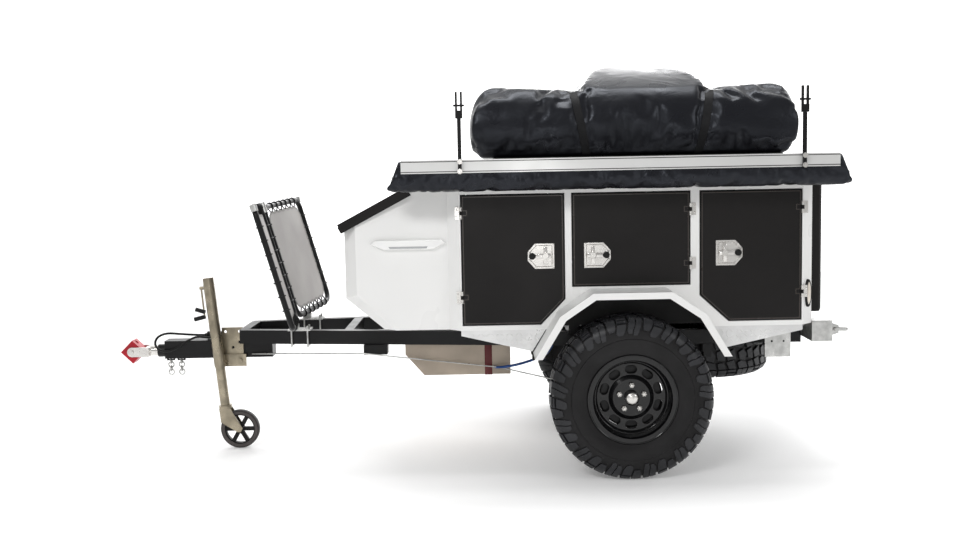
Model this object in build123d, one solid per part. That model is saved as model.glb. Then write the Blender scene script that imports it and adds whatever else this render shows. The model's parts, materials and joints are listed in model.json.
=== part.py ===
"""Off-road camping trailer: box body on an A-frame chassis, with a roof tent and a bag awning.

Millimetres. -X is the hitch, +X the rear, -Y the side with the awning, +Z up.
The origin is on the ground, under the middle of the trailer's box.
"""
import os
from math import atan2, cos, degrees, hypot, pi, radians, sin, tan

from build123d import *

# Overall reach
FRONT_TIP_X = -1960.0

# Wheels
AXLE_X = 820.0
TYRE_R = 402.0
TYRE_W = 265.0
BEAD_R = 203.0
BEAD_HALF = 100.0
SHOULDER_DROP = 14.0
LUG_DEPTH = 15.0
LUG_COUNT = 26
RIM_FLANGE_R = 221.0
RIM_WALL = 8.0
RIM_WELL_R = 168.0
DISC_OUT = 42.0
DISC_T = 8.0
HOLE_COUNT = 10
HOLE_PCR = 134.0
HOLE_R = 25.0
LUG_PCD = 127.0
LUG_NUT_R = 10.0
LUG_NUT_COUNT = 5
HUB_R = 52.0
HUB_NOSE_R = 36.0
DRUM_R = 128.0
DRUM_LEN = 70.0
DRUM_BACK = 131.0
DRUM_CLEAR = 8.0
SPINDLE_R = 20.0
BACKING_T = 46.0
RUN_FIT = 0.05
SEAT_GAP = 0.3

# Chassis
RAIL_W = 50.0
RIDE_H = 198.0
RAIL_H = 75.0
RAIL_LOW = TYRE_R + RIDE_H
RAIL_TOP = RAIL_LOW + RAIL_H
NECK_X = -1235.0
NECK_Y = 170.0
BEND_X = 690.0
RAIL_Y = 462.0
BUMPER_X = 1760.0
BUMPER_D = 100.0
BUMPER_LOW = RAIL_LOW + 35.0
TONGUE_HALF = 50.0
TONGUE_H = 100.0
TONGUE_LOW = RAIL_LOW - TONGUE_H
TONGUE_FRONT = -1710.0
TONGUE_BACK = -1100.0
BEAM = 60.0
SPRING_SPAN = 900.0
SPRING_W = 60.0
LEAF_T = 9.0

# Box body
FLOOR_RISE = 56.0
FLOOR_Z = RAIL_TOP + FLOOR_RISE
BODY_H = 719.0
ROOF_Z = FLOOR_Z + BODY_H
BODY_HALF = 750.0
WHEEL_OUT = 65.0
WHEEL_Y = BODY_HALF + WHEEL_OUT
FLARE_OUT = 220.0
OUTER_Y = BODY_HALF + FLARE_OUT
BOX_FRONT = -14.0
BOX_REAR = 1694.0
CORNER = 60.0
WALL = 25.0
FLOOR_T = 20.0
DOOR_GAP = 3.0
DOOR_OUT = 6.0
DOOR_T = 24.0
DOOR_BEVEL = 8.0
DOOR_LOW = FLOOR_Z + 27.0
DOOR_TOP = ROOF_Z - 42.0
TUB_DEPTH = 122.0
TUB_Y = BODY_HALF - TUB_DEPTH
TUB_T = 5.0

# Wheel arch: half width and height of each corner above the axle
ARCH = ((TYRE_R - 212.0, TYRE_R + 530.0), (TYRE_R - 50.0, TYRE_R + 420.0), (TYRE_R + 74.0, TYRE_R + 213.0))
FLARE_T = 6.0
FLARE_LIP = 32.0

# Nose box
NOSE_FRONT = -600.0
NOSE_HALF = BODY_HALF - 60.0
NOSE_WALL = 20.0
LID_FOOT_Z = ROOF_Z - 200.0
LID_HEAD_X = -257.0
LID_HEAD_Z = ROOF_Z - 20.0
LID_T = 30.0
LID_LAP = 14.0

# Rear hatch
HATCH_T = 58.0
HATCH_HALF = BODY_HALF - 88.0
HATCH_LOW = FLOOR_Z + 54.0
HATCH_TOP = ROOF_Z - 14.0

# Rear bumper
BUMPER_HALF = BODY_HALF - 60.0

# Roof load
RACK_RISE = 110.0
RACK_TOP = ROOF_Z + RACK_RISE
RACK_BAR = 40.0
RACK_X = (250.0, 820.0, 1420.0)
RACK_HALF = BODY_HALF + 53.0
RACK_FOOT_Y = BODY_HALF - 150.0
TENT_FRONT = 64.0
TENT_REAR = 1690.0
TENT_HALF = BODY_HALF - 130.0
TENT_BASE_T = 30.0
TENT_LOW = RACK_TOP + TENT_BASE_T
TENT_DEPTH = 355.0
TENT_SHOULDER = TENT_LOW + TENT_DEPTH
HUMP_RISE = 121.0
TENT_TOP = TENT_SHOULDER + HUMP_RISE
HUMP_CHEEK = 50 / 121
HUMP_BROW = 6 / 121
BELLY_SHARE = 150 / 355
HUMP = (632.0, 740.0, 1130.0, 1242.0)
AWNING_FRONT = -282.0
AWNING_REAR = 1817.0
AWNING_FACE = RACK_HALF + 127.0
AWNING_H = 64.0
AWNING_LOW = RACK_TOP - 41.0
AWNING_TOP = AWNING_LOW + AWNING_H
AWNING_T = 5.0
BAG_DROP = 82.0
BAG_LOW = AWNING_LOW - BAG_DROP
BAG_END = 70.0
POST_X = (1.0, 1644.0)
POST_RISE = 319.0
POST_TOP = AWNING_TOP + POST_RISE
POST_HALF = 9.0
POST_T = 14.0
PRONG_LEN = 90.0
PRONG_OFF = 12.0

# Hinges
KNUCKLE_R = 7.0
PIN_R = 4.0
KNUCKLE_LEN = 60.0
KNUCKLE_CLEAR = 1.0
LEAF_PLATE = 3.0
LEAF_REACH = 28.0

# Jack: a tube on a swing plate at the side of the tongue
JACK_Y = -120.0
JACK_LEAN = 5.3
JACK_TOP_Z = TONGUE_LOW + 461.0
JACK_SLEEVE_Z = TONGUE_LOW - 37.0
JACK_TOP_X = -1430.0
JACK_R = 30.0
JACK_WALL = 3.5
JACK_TRAIL = 67.0
JACK_WHEEL_R = 107.5
JACK_FOOT_Z = JACK_WHEEL_R + 128.5
JACK_WHEEL_HALF = 20.0
PIVOT_X = -1280.0
PIVOT_Z = TONGUE_LOW - 12.0
PIVOT_R = 12.0

# Coupling
COUPLING_Z = TONGUE_LOW + 40.0
BLOCK_DIAGONAL = 66.0
BLOCK_HALF_W = 44.0
BLOCK_PIN_R = 10.0
TOW_HOLE_R = 13.0
TOW_HOLE_OFF = -27.0
SHAFT_R = 22.0
YOKE_PLATE = 10.0

# Stone guard: each wing is a tube frame with a laced mesh
GUARD_FOOT = (-965.0, 34.0, RAIL_TOP + 41.0)
GUARD_SWEEP = (90.0, 616.0, 25.0)
GUARD_LEAN = (-175.0, 0.0, 623.0)
GUARD_TUBE_R = 15.0
GUARD_CORNER = 60.0
MESH_INSET = 22.0
MESH_T = 3.0

# Underfloor pieces
TANK_FRONT = -329.0
TANK_REAR = 237.0
TANK_LOW = RAIL_LOW - 170.0
TANK_HALF = 330.0
SPARE_X = 1290.0
SPARE_LOW = RAIL_TOP - 24.0 - TYRE_W
CABLE_R = 3.5

nodes = {}


def block(x0, x1, y0, y1, z0, z1):
    """A box between two corners."""
    return Pos((x0 + x1) / 2, (y0 + y1) / 2, (z0 + z1) / 2) * Box(x1 - x0, y1 - y0, z1 - z0)


def outline(points):
    return make_face(Polyline(*points, close=True))


def prism_y(points, y0, y1):
    """Points are (x, z); the prism runs from y0 to y1."""
    return extrude(Plane.XZ.offset(-y0) * outline(points), amount=y1 - y0, dir=(0, 1, 0))


def prism_x(points, x0, x1):
    """Points are (y, z); the prism runs from x0 to x1."""
    return extrude(Plane.YZ.offset(x0) * outline(points), amount=x1 - x0, dir=(1, 0, 0))


def prism_z(points, z0, z1):
    """Points are (x, y); the prism runs from z0 to z1."""
    return extrude(Plane.XY.offset(z0) * outline(points), amount=z1 - z0, dir=(0, 0, 1))


def rod(start, end, radius):
    axis = Vector(*end) - Vector(*start)
    return Solid.make_cylinder(radius, axis.length, Plane(origin=start, z_dir=axis))


def pipe(points, radius, bend):
    """A round bar along straight runs joined by arcs."""
    path = FilletPolyline(*points, radius=bend)
    return sweep(Plane(origin=path @ 0, z_dir=path % 0) * Circle(radius), path=path)


def far(shape):
    """The same piece on the other side of the trailer."""
    return mirror(shape, about=Plane.XZ)


def pair(shape):
    return [shape, far(shape)]


def arch_points(inset=0.0, foot=0.0):
    """The octagonal arch round the wheel, set in by a wall and run on along its legs by a foot."""
    (top_half, top_z), (knee_half, knee_z), (foot_half, foot_z) = ARCH
    splay = (foot_half - knee_half) / (knee_z - foot_z)
    thrust = inset * hypot(1, splay)
    points = [(AXLE_X + top_half - inset * 0.4, top_z - inset), (AXLE_X + knee_half - inset * 0.9, knee_z - inset * 0.6),
              (AXLE_X + foot_half - thrust + foot * splay, foot_z - foot)]
    return points + [(2 * AXLE_X - x, z) for x, z in reversed(points)]


# Tyres and wheels, made once about the Y axis at the origin, outer face towards -Y
def tyre():
    half = TYRE_W / 2
    tread_half = half - 27
    shoulder_r = TYRE_R - SHOULDER_DROP
    belly_r = (BEAD_R + shoulder_r) / 2
    bead_r = BEAD_R + SEAT_GAP
    wall_r = shoulder_r - 34
    right = [(bead_r, BEAD_HALF), (belly_r, half), (wall_r, half), (shoulder_r, half - 9), (TYRE_R, tread_half)]
    section = [(r, y) for r, y in right] + [(r, -y) for r, y in reversed(right)]
    ring = revolve(Plane.XY * outline(section), axis=Axis.Y)
    notch = Box(56, 52, 26)
    cuts = []
    for side in (-1, 1):
        for i in range(LUG_COUNT):
            turn = 360.0 / LUG_COUNT * (i + 0.25 * (side + 1))
            cuts.append(Rot(0, turn, 0) * Pos(TYRE_R - LUG_DEPTH + 28, side * (half - 18), 0) * notch)
    return ring - cuts


def rim():
    lip = BEAD_HALF + 14
    barrel = [(BEAD_R, -lip + 6), (RIM_FLANGE_R, -lip + 6), (RIM_FLANGE_R, -lip), (BEAD_R - RIM_WALL, -lip),
              (BEAD_R - RIM_WALL, -DISC_OUT - 30), (RIM_WELL_R, -DISC_OUT), (RIM_WELL_R, 40),
              (BEAD_R - RIM_WALL, 60), (BEAD_R - RIM_WALL, lip), (RIM_FLANGE_R, lip), (RIM_FLANGE_R, lip - 6),
              (BEAD_R, lip - 6), (BEAD_R, 68), (RIM_WELL_R + RIM_WALL, 48), (RIM_WELL_R + RIM_WALL, -DISC_OUT + 6),
              (BEAD_R, -DISC_OUT - 24)]
    ring = revolve(Plane.XY * outline(barrel), axis=Axis.Y)
    dish = [(HUB_NOSE_R + SEAT_GAP, -DISC_OUT - 14), (92, -DISC_OUT - 14), (112, -DISC_OUT), (RIM_WELL_R + 2, -DISC_OUT),
            (RIM_WELL_R + 2, -DISC_OUT + DISC_T), (108, -DISC_OUT + DISC_T), (88, -DISC_OUT - 14 + DISC_T),
            (HUB_NOSE_R + SEAT_GAP, -DISC_OUT - 14 + DISC_T)]
    disc = revolve(Plane.XY * outline(dish), axis=Axis.Y)
    window = SlotOverall(2 * HOLE_R + 10, 2 * HOLE_R - 8)
    hole = extrude(Plane.XZ * Pos(0, HOLE_PCR + 4) * window, amount=60, both=True)
    disc -= [Rot(0, 360.0 / HOLE_COUNT * i, 0) * hole for i in range(HOLE_COUNT)]
    nut = extrude(Plane.XZ * Pos(0, LUG_PCD / 2) * RegularPolygon(LUG_NUT_R, 6), amount=14)
    nut = Pos(0, -DISC_OUT - 14, 0) * nut
    return ring + disc + [Rot(0, 360.0 / LUG_NUT_COUNT * i, 0) * nut for i in range(LUG_NUT_COUNT)]


def hub():
    """Drum, hub and nose cap in one turning, bored from behind for the spindle."""
    face = -DISC_OUT - 14 + DISC_T
    back = DRUM_BACK
    drum_front = back - DRUM_LEN
    cap = face - 34
    blind = face + 6
    bore = SPINDLE_R + RUN_FIT
    section = [(0, cap), (HUB_NOSE_R - 8, cap), (HUB_NOSE_R, cap + 6), (HUB_NOSE_R, face), (86, face), (86, face + 8),
               (HUB_R, face + 8), (HUB_R, drum_front), (DRUM_R, drum_front), (DRUM_R, back), (DRUM_R - 10, back),
               (DRUM_R - 10, drum_front + 10), (HUB_R, drum_front + 10), (HUB_R - 8, back), (bore, back),
               (bore, blind), (0, blind)]
    return revolve(Plane.XY * outline(section), axis=Axis.Y)


near_wheel = Pos(AXLE_X, -WHEEL_Y, TYRE_R)
spare_place = Pos(SPARE_X, 0, SPARE_LOW + TYRE_W / 2) * Rot(90, 0, 0)
tyre_ring, rim_disc = tyre(), rim()
nodes["tyre_left"], nodes["tyre_right"] = pair(near_wheel * tyre_ring)
nodes["rim_left"], nodes["rim_right"] = pair(near_wheel * (rim_disc + hub()))
nodes["spare_tyre"] = spare_place * tyre_ring
nodes["spare_rim"] = spare_place * rim_disc

# Axle, springs and chassis
def axle_beam():
    stub_end = WHEEL_Y + DISC_OUT + 14 - DISC_T - 10
    backing_face = WHEEL_Y - DRUM_BACK - DRUM_CLEAR
    backing = backing_face - BACKING_T
    half = BEAM / 2
    beam = block(AXLE_X - half, AXLE_X + half, -backing - 10, backing + 10, TYRE_R - half, TYRE_R + half)
    for side in (-1, 1):
        root = (AXLE_X, side * backing, TYRE_R)
        beam += rod(root, (AXLE_X, side * stub_end, TYRE_R), SPINDLE_R)
        beam += rod(root, (AXLE_X, side * backing_face, TYRE_R), DRUM_R - 4)
    return beam


nodes["axle_beam"] = axle_beam()

SPRING_SEAT = TYRE_R + BEAM / 2
EYE_TOP = RAIL_LOW - 40.0


def leaf(span, low, rise, thick):
    """One bent spring leaf over the axle, as a ring segment between two arcs."""
    left, right = AXLE_X - span / 2, AXLE_X + span / 2
    under = ThreePointArc((left, low + rise), (AXLE_X, low), (right, low + rise))
    over = ThreePointArc((right, low + rise + thick), (AXLE_X, low + thick), (left, low + rise + thick))
    sides = [Line(under @ 1, over @ 0), Line(over @ 1, under @ 0)]
    face = make_face([under, sides[0], over, sides[1]])
    return extrude(Plane.XZ.offset(RAIL_Y + SPRING_W / 2) * face, amount=SPRING_W, dir=(0, 1, 0))


def leaf_spring():
    rise = EYE_TOP - 16 - SPRING_SEAT - 3 * LEAF_T
    spring = block(AXLE_X - 50, AXLE_X + 50, -RAIL_Y - SPRING_W / 2, -RAIL_Y + SPRING_W / 2,
                   SPRING_SEAT, SPRING_SEAT + 4 * LEAF_T)
    for i, share in enumerate((0.42, 0.7, 1.0)):
        level = SPRING_SEAT + i * LEAF_T
        spring += leaf(SPRING_SPAN * share, level, rise * share ** 2, LEAF_T + 0.5)
    for end in (-1, 1):
        eye_x = AXLE_X + end * SPRING_SPAN / 2
        spring += block(eye_x - 20, eye_x + 20, -RAIL_Y - SPRING_W / 2, -RAIL_Y + SPRING_W / 2, EYE_TOP - 30, EYE_TOP)
    return spring


nodes["leaf_springs"] = pair(leaf_spring())


def rail_y(x):
    """Middle of the near rail at a place along the trailer."""
    share = min((x - NECK_X) / (BEND_X - NECK_X), 1.0)
    return -NECK_Y - (RAIL_Y - NECK_Y) * share


def chassis_frame():
    run = BEND_X - NECK_X
    spread = RAIL_Y - NECK_Y
    turn = degrees(atan2(spread, run))
    slant = Box(hypot(run, spread) + RAIL_W / 2, RAIL_W, RAIL_TOP - RAIL_LOW)
    mid = Pos((NECK_X + BEND_X) / 2, -(NECK_Y + RAIL_Y) / 2, (RAIL_LOW + RAIL_TOP) / 2)
    rail = mid * Rot(0, 0, -turn) * slant
    rail += block(BEND_X, BUMPER_X, -RAIL_Y - RAIL_W / 2, -RAIL_Y + RAIL_W / 2, RAIL_LOW, RAIL_TOP)
    for end in (-1, 1):
        eye_x = AXLE_X + end * SPRING_SPAN / 2
        inner = max(rail_y(eye_x) + RAIL_W / 2, -RAIL_Y + SPRING_W / 2)
        rail += block(eye_x - 26, eye_x + 26, -RAIL_Y - SPRING_W / 2, inner, EYE_TOP, RAIL_LOW + 1)
    frame = rail + far(rail)
    neck_half = NECK_Y + RAIL_W - 40
    frame += block(NECK_X, TONGUE_BACK + 60, -neck_half, neck_half, RAIL_LOW, RAIL_LOW + NECK_PLATE)
    frame += block(NECK_X - 20, NECK_X + 30, -NECK_Y, NECK_Y, RAIL_LOW, RAIL_TOP)
    for x, half in CROSS_MEMBERS:
        level, top = (RAIL_LOW, RAIL_TOP) if x < BOX_FRONT else (RAIL_TOP - 2, FLOOR_Z)
        frame += block(x - CROSS_HALF, x + CROSS_HALF, -half, half, level, top)
    return frame


def tongue():
    """The drawbar's front beam, with the lead's gland and the parking socket for its plug on top."""
    beam = block(TONGUE_FRONT, TONGUE_BACK, -TONGUE_HALF, TONGUE_HALF, TONGUE_LOW, RAIL_LOW)
    for (x, y, z), radius, length in ((LEAD_ROUTE[0], GLAND_R, GLAND_LEN), (LEAD_ROUTE[-1], PARK_R, PARK_LEN)):
        beam += rod((x, y, z), (x + length, y, z), radius)
        beam += block(x + 2, x + length, y - radius / 2, y + radius / 2, RAIL_LOW, z)
    return beam


# Cross members: place along X, half width
CROSS_HALF = 25.0
NECK_PLATE = 12.0
CROSS_MEMBERS = ((-640.0, 255.0), (40.0, BODY_HALF - 50.0), (560.0, TUB_Y - 28.0), (SPARE_X, TUB_Y - 28.0),
                 (1660.0, BODY_HALF - 70.0))

# The towing lead: out of its gland, over the near edge, round the tongue's nose and back to its socket
LEAD_R = 6.5
LEAD_ROUTE = [(-1420, -24, 612), (-1470, -24, 612), (-1525, -46, 625), (-1580, -68, 600), (-1635, -72, 560),
              (-1690, -70, 542), (-1740, -66, 553), (-1766, -52, 588), (-1752, -30, 625), (-1705, -6, 640),
              (-1645, 10, 632), (-1580, 18, 625), (-1515, 16, 622), (-1455, 16, 622)]
GLAND_R = 11.0
GLAND_LEN = 25.0
PARK_R = 20.0
PARK_LEN = 60.0


def cord_tube(route, radius):
    """A tube along a cord's route, each arc as large as its two runs allow."""
    points = [Vector(*point) for point in route]
    radii = []
    for before, here, after in zip(points, points[1:], points[2:]):
        near, away = here - before, after - here
        bend = radians(near.get_angle(away))
        radii.append(0.45 * min(near.length, away.length) / tan(bend / 2))
    print("cord arcs", [round(value) for value in radii])
    path = FilletPolyline(*route, radius=radii)
    tube = sweep(Plane(origin=path @ 0, z_dir=path % 0) * Circle(radius), path=path)
    print("cord length", round(path.length), "volume share", round(tube.volume / (pi * radius ** 2 * path.length), 4))
    return tube


nodes["tow_lead"] = cord_tube(LEAD_ROUTE, LEAD_R)

SPARE_DISC_TOP = SPARE_LOW + TYRE_W / 2 - DISC_OUT - 14 + DISC_T


def spare_carrier():
    """The post and plate that hold the spare wheel's disc up to its cross member."""
    foot, head = (SPARE_X, 0, SPARE_DISC_TOP), (SPARE_X, 0, RAIL_TOP)
    return rod(foot, head, 22) + rod(foot, (SPARE_X, 0, SPARE_DISC_TOP + 12), 80)


def rear_bumper():
    beam = block(BUMPER_X, BUMPER_X + BUMPER_D, -BUMPER_HALF, BUMPER_HALF, BUMPER_LOW, BUMPER_LOW + 105)
    bore = block(BUMPER_X + 6, BUMPER_X + BUMPER_D - 6, -BUMPER_HALF - 1, BUMPER_HALF + 1,
                 BUMPER_LOW + 6, BUMPER_LOW + 99)
    beam -= bore
    for side in (-1, 1):
        y = side * (BUMPER_HALF - 60)
        tab = [(BUMPER_X + BUMPER_D - 3, BUMPER_LOW + 15), (BUMPER_X + BUMPER_D - 3, BUMPER_LOW + 90),
               (SHACKLE_X + 18, BUMPER_LOW + 72), (SHACKLE_X + 18, BUMPER_LOW + 33)]
        tab = prism_y(tab, y - 9, y + 9)
        beam += tab - rod((SHACKLE_X, y - 20, SHACKLE_Z), (SHACKLE_X, y + 20, SHACKLE_Z), 10.5)
    return beam


SHACKLE_X = BUMPER_X + BUMPER_D + 32
SHACKLE_Z = BUMPER_LOW + 52
SHACKLE_BAR = 8.0
SHACKLE_LEN = 60.0


def shackle(side):
    y = side * (BUMPER_HALF - 60)
    reach = SHACKLE_X + SHACKLE_LEN
    arm = 19.0
    bow = pipe([(SHACKLE_X, y - arm, SHACKLE_Z), (reach, y - arm, SHACKLE_Z),
                (reach, y + arm, SHACKLE_Z), (SHACKLE_X, y + arm, SHACKLE_Z)], SHACKLE_BAR, arm - 1)
    return bow + rod((SHACKLE_X, y - 32, SHACKLE_Z), (SHACKLE_X, y + 32, SHACKLE_Z), 10)


nodes["d_shackles"] = [shackle(-1), shackle(1)]

# Box body: floor, roof, sides, front, rear, inner walls
ARCH_CUT = prism_y(arch_points(foot=200), -BODY_HALF - 30, -TUB_Y)
ARCH_CUTS = pair(ARCH_CUT)
BOX_NOSE = BOX_FRONT - CORNER
BOX_TAIL = BOX_REAR + CORNER


def plan(inset=0.0):
    """The box seen from above, with its cut corners."""
    half, front, rear = BODY_HALF - inset, BOX_NOSE + inset, BOX_TAIL - inset
    cut = CORNER
    quarter = [(front, half - cut), (front + cut, half), (rear - cut, half), (rear, half - cut)]
    return quarter + [(x, -y) for x, y in reversed(quarter)]


WALL_TOP = ROOF_Z - WALL
inner_plan = prism_z(plan(WALL), FLOOR_Z - 1, ROOF_Z)
nodes["body_floor"] = prism_z(plan(WALL), FLOOR_Z, FLOOR_Z + FLOOR_T) - ARCH_CUTS
nodes["body_roof"] = prism_z(plan(), WALL_TOP, ROOF_Z)
shell = prism_z(plan(), FLOOR_Z, WALL_TOP) - inner_plan

# Doors: front edge, rear edge, lower edge, lower corner cut (side, run along X, height), hinge edge
DOORS = {
    "front": (-4.0, 507.0, DOOR_LOW, ("rear", 122.0, 126.0), "front"),
    "middle": (546.0, 1131.0, FLOOR_Z + 214.0, None, "rear"),
    "rear": (1181.0, 1686.0, DOOR_LOW, ("front", 144.0, 132.0), "rear"),
}
LATCH_X = {"front": 390.0, "middle": 670.0, "rear": 1324.0}
LATCH_Z = FLOOR_Z + 369.0


def door_points(name, grow=0.0):
    front, rear, low, cut, _ = DOORS[name]
    front, rear, low, top = front - grow, rear + grow, low - grow, DOOR_TOP + grow
    if cut is None:
        return [(front, low), (rear, low), (rear, top), (front, top)]
    where, run, height = cut
    run, height = run + grow * 0.4, height + grow * 0.4
    if where == "rear":
        return [(front, low), (rear - run, low), (rear, low + height), (rear, top), (front, top)]
    return [(front + run, low), (rear, low), (rear, top), (front, top), (front, low + height)]


def side_panel():
    panel = shell & block(BOX_FRONT, BOX_REAR, -BODY_HALF, -BODY_HALF + WALL, FLOOR_Z, WALL_TOP)
    panel -= ARCH_CUT
    for name in DOORS:
        panel -= prism_y(door_points(name, DOOR_GAP), -BODY_HALF - 1, -BODY_HALF + WALL + 1)
    return panel


nodes["body_sides"] = pair(side_panel())
front_wall = shell & block(BOX_NOSE, BOX_FRONT, -BODY_HALF, BODY_HALF, FLOOR_Z, WALL_TOP)
rear_wall = shell & block(BOX_REAR, BOX_TAIL, -BODY_HALF, BODY_HALF, FLOOR_Z, WALL_TOP)
HATCH_HOLE = (HATCH_HALF - 40, HATCH_LOW + 35, HATCH_TOP - 40)
rear_wall -= block(BOX_REAR, BOX_TAIL + 1, -HATCH_HOLE[0], HATCH_HOLE[0], HATCH_HOLE[1], HATCH_HOLE[2])
nodes["body_ends"] = [front_wall, rear_wall]


BULKHEAD_X = (526.0, 1156.0)


def bulkhead(x):
    wall = block(x - 9, x + 9, -BODY_HALF + WALL, BODY_HALF - WALL, FLOOR_Z + FLOOR_T, WALL_TOP)
    return wall - ARCH_CUTS


nodes["body_bulkheads"] = [bulkhead(x) for x in BULKHEAD_X]


def wheel_tub():
    hood = prism_y(arch_points(), -BODY_HALF, -TUB_Y)
    hood &= block(NOSE_FRONT, BOX_TAIL, -BODY_HALF, -TUB_Y, FLOOR_Z, ROOF_Z)
    hollow = prism_y(arch_points(TUB_T, foot=100), -BODY_HALF - 1, -TUB_Y - TUB_T)
    return hood - hollow


def flare():
    skin = prism_y(arch_points(), -OUTER_Y, -BODY_HALF)
    skin -= prism_y(arch_points(FLARE_T, foot=50), -OUTER_Y - 1, -BODY_HALF + 1)
    lip = prism_y(arch_points(), -OUTER_Y, -OUTER_Y + FLARE_T)
    lip -= prism_y(arch_points(FLARE_LIP, foot=50), -OUTER_Y - 1, -OUTER_Y + FLARE_T + 1)
    return skin + lip


nodes["wheel_tubs"] = pair(wheel_tub())
nodes["wheel_flares"] = pair(flare())


def sills():
    """Checker plates under the doors, running down to the arch feet."""
    edge = arch_points()
    foot_rear, foot_front = edge[2], edge[3]
    knee = 2 * AXLE_X - (AXLE_X + ARCH[1][0] + (ARCH[1][1] - FLOOR_Z) * 0.6)
    front = [(BOX_FRONT, FLOOR_Z), (BOX_FRONT, FLOOR_Z - 26), (foot_front[0] - 4, foot_front[1] + 6), (knee - 4, FLOOR_Z)]
    rear = [(BOX_REAR, FLOOR_Z), (BOX_REAR, FLOOR_Z - 26), (foot_rear[0] + 4, foot_rear[1] + 6),
            (2 * AXLE_X - knee + 4, FLOOR_Z)]
    return [prism_y(points, -BODY_HALF, -BODY_HALF + 5) for points in (front, rear)]


nodes["sill_plates"] = sills() + [far(plate) for plate in sills()]

# Hinges: the fixed leaf carries a pin and the moving knuckle turns on it.
# Made along local Z, with the moving piece towards +X and the fixed one towards -X; +Y is inwards
THIRD = KNUCKLE_LEN / 3


def hinge_leaf(stand):
    """Fixed half, on a face that lies a stand's depth inside the axis."""
    leaf = block(-LEAF_REACH, -2, stand - LEAF_PLATE, stand, -KNUCKLE_LEN / 2, KNUCKLE_LEN / 2)
    leaf += rod((0, 0, -KNUCKLE_LEN / 2), (0, 0, KNUCKLE_LEN / 2), PIN_R)
    for level in (-THIRD, THIRD):
        leaf += rod((0, 0, level - THIRD / 2), (0, 0, level + THIRD / 2), KNUCKLE_R)
        leaf += block(-KNUCKLE_R, -2, 0, stand, level - THIRD / 2, level + THIRD / 2)
    return leaf


def hinge_knuckle(seat, reach=LEAF_REACH):
    """Moving half, with its strap on a face that lies a seat's depth inside the axis."""
    half = THIRD / 2 - SEAT_GAP
    knuckle = rod((0, 0, -half), (0, 0, half), KNUCKLE_R)
    knuckle += block(2, KNUCKLE_R, 0, seat, -half, half)
    knuckle += block(2, reach, seat - LEAF_PLATE, seat, -half, half)
    return knuckle - rod((0, 0, -half - 1), (0, 0, half + 1), PIN_R + RUN_FIT)


DOOR_FACE = BODY_HALF + DOOR_OUT
HINGE_Y = DOOR_FACE + KNUCKLE_R + KNUCKLE_CLEAR
HINGE_LOW, HINGE_MIDDLE, HINGE_HIGH = DOOR_LOW + 142.0, DOOR_LOW + 294.0, DOOR_TOP - 88.0
DOOR_HINGE_Z = {"front": (HINGE_LOW, HINGE_HIGH), "middle": (HINGE_MIDDLE, HINGE_HIGH),
                "rear": (HINGE_LOW, HINGE_HIGH)}


def door_hinge_x(name):
    front, rear, _, _, edge = DOORS[name]
    return front - DOOR_GAP / 2 if edge == "front" else rear + DOOR_GAP / 2


def door_hinge_place(name, level):
    towards = 1 if DOORS[name][4] == "front" else -1
    place = Plane(origin=(door_hinge_x(name), -HINGE_Y, level), x_dir=(towards, 0, 0), z_dir=(0, 0, towards))
    return place.location


def door(name):
    """A slab with a bevelled face, standing a little proud of the side."""
    slab = prism_y(door_points(name), -BODY_HALF - DOOR_OUT + DOOR_BEVEL / 2, -DOOR_FACE + DOOR_T)
    face = Plane.XZ.offset(BODY_HALF + DOOR_OUT - DOOR_BEVEL / 2) * outline(door_points(name))
    slab += extrude(face, amount=DOOR_BEVEL / 2, dir=(0, -1, 0), taper=60)
    for level in DOOR_HINGE_Z[name]:
        slab += door_hinge_place(name, level) * hinge_knuckle(HINGE_Y - DOOR_FACE)
    return slab


def latch(name):
    """A pressed pan with a folding T-handle and a lock barrel, its point towards the hinge."""
    point = -1 if DOORS[name][4] == "front" else 1
    pan = [(-66, -63), (30, -63), (66, -22), (66, 22), (30, 63), (-66, 63)]
    pan = [(LATCH_X[name] + point * x, LATCH_Z + z) for x, z in pan]
    plate = prism_y(pan, -DOOR_FACE - 4, -DOOR_FACE)
    bar_x = LATCH_X[name] - point * 22
    plate += block(bar_x - 11, bar_x + 11, -DOOR_FACE - 14, -DOOR_FACE - 4, LATCH_Z - 46, LATCH_Z + 46)
    grip = LATCH_X[name] + point * 24
    plate += block(min(bar_x, grip), max(bar_x, grip), -DOOR_FACE - 12, -DOOR_FACE - 4, LATCH_Z - 12, LATCH_Z + 12)
    return plate + rod((bar_x, -DOOR_FACE - 13, LATCH_Z), (bar_x, -DOOR_FACE - 19, LATCH_Z), 12)


leaves = []
for name in DOORS:
    panel, handle = door(name), latch(name)
    nodes[f"door_{name}_left"], nodes[f"door_{name}_right"] = pair(panel)
    nodes[f"latch_{name}_left"], nodes[f"latch_{name}_right"] = pair(handle)
    for level in DOOR_HINGE_Z[name]:
        leaves += pair(door_hinge_place(name, level) * hinge_leaf(HINGE_Y - BODY_HALF))

# Nose box with its sloped lid
LID_SLOPE = atan2(LID_HEAD_Z - LID_FOOT_Z, LID_HEAD_X - NOSE_FRONT)
LID_RUN = hypot(LID_HEAD_Z - LID_FOOT_Z, LID_HEAD_X - NOSE_FRONT)
NOSE_FOOT_X = -410.0
NOSE_STEP_Z = FLOOR_Z + 161.0


def on_slope(along, above):
    """A point on the lid's slope, from its foot up and out from its face."""
    return (NOSE_FRONT + along * cos(LID_SLOPE) - above * sin(LID_SLOPE),
            LID_FOOT_Z + along * sin(LID_SLOPE) + above * cos(LID_SLOPE))


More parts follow.
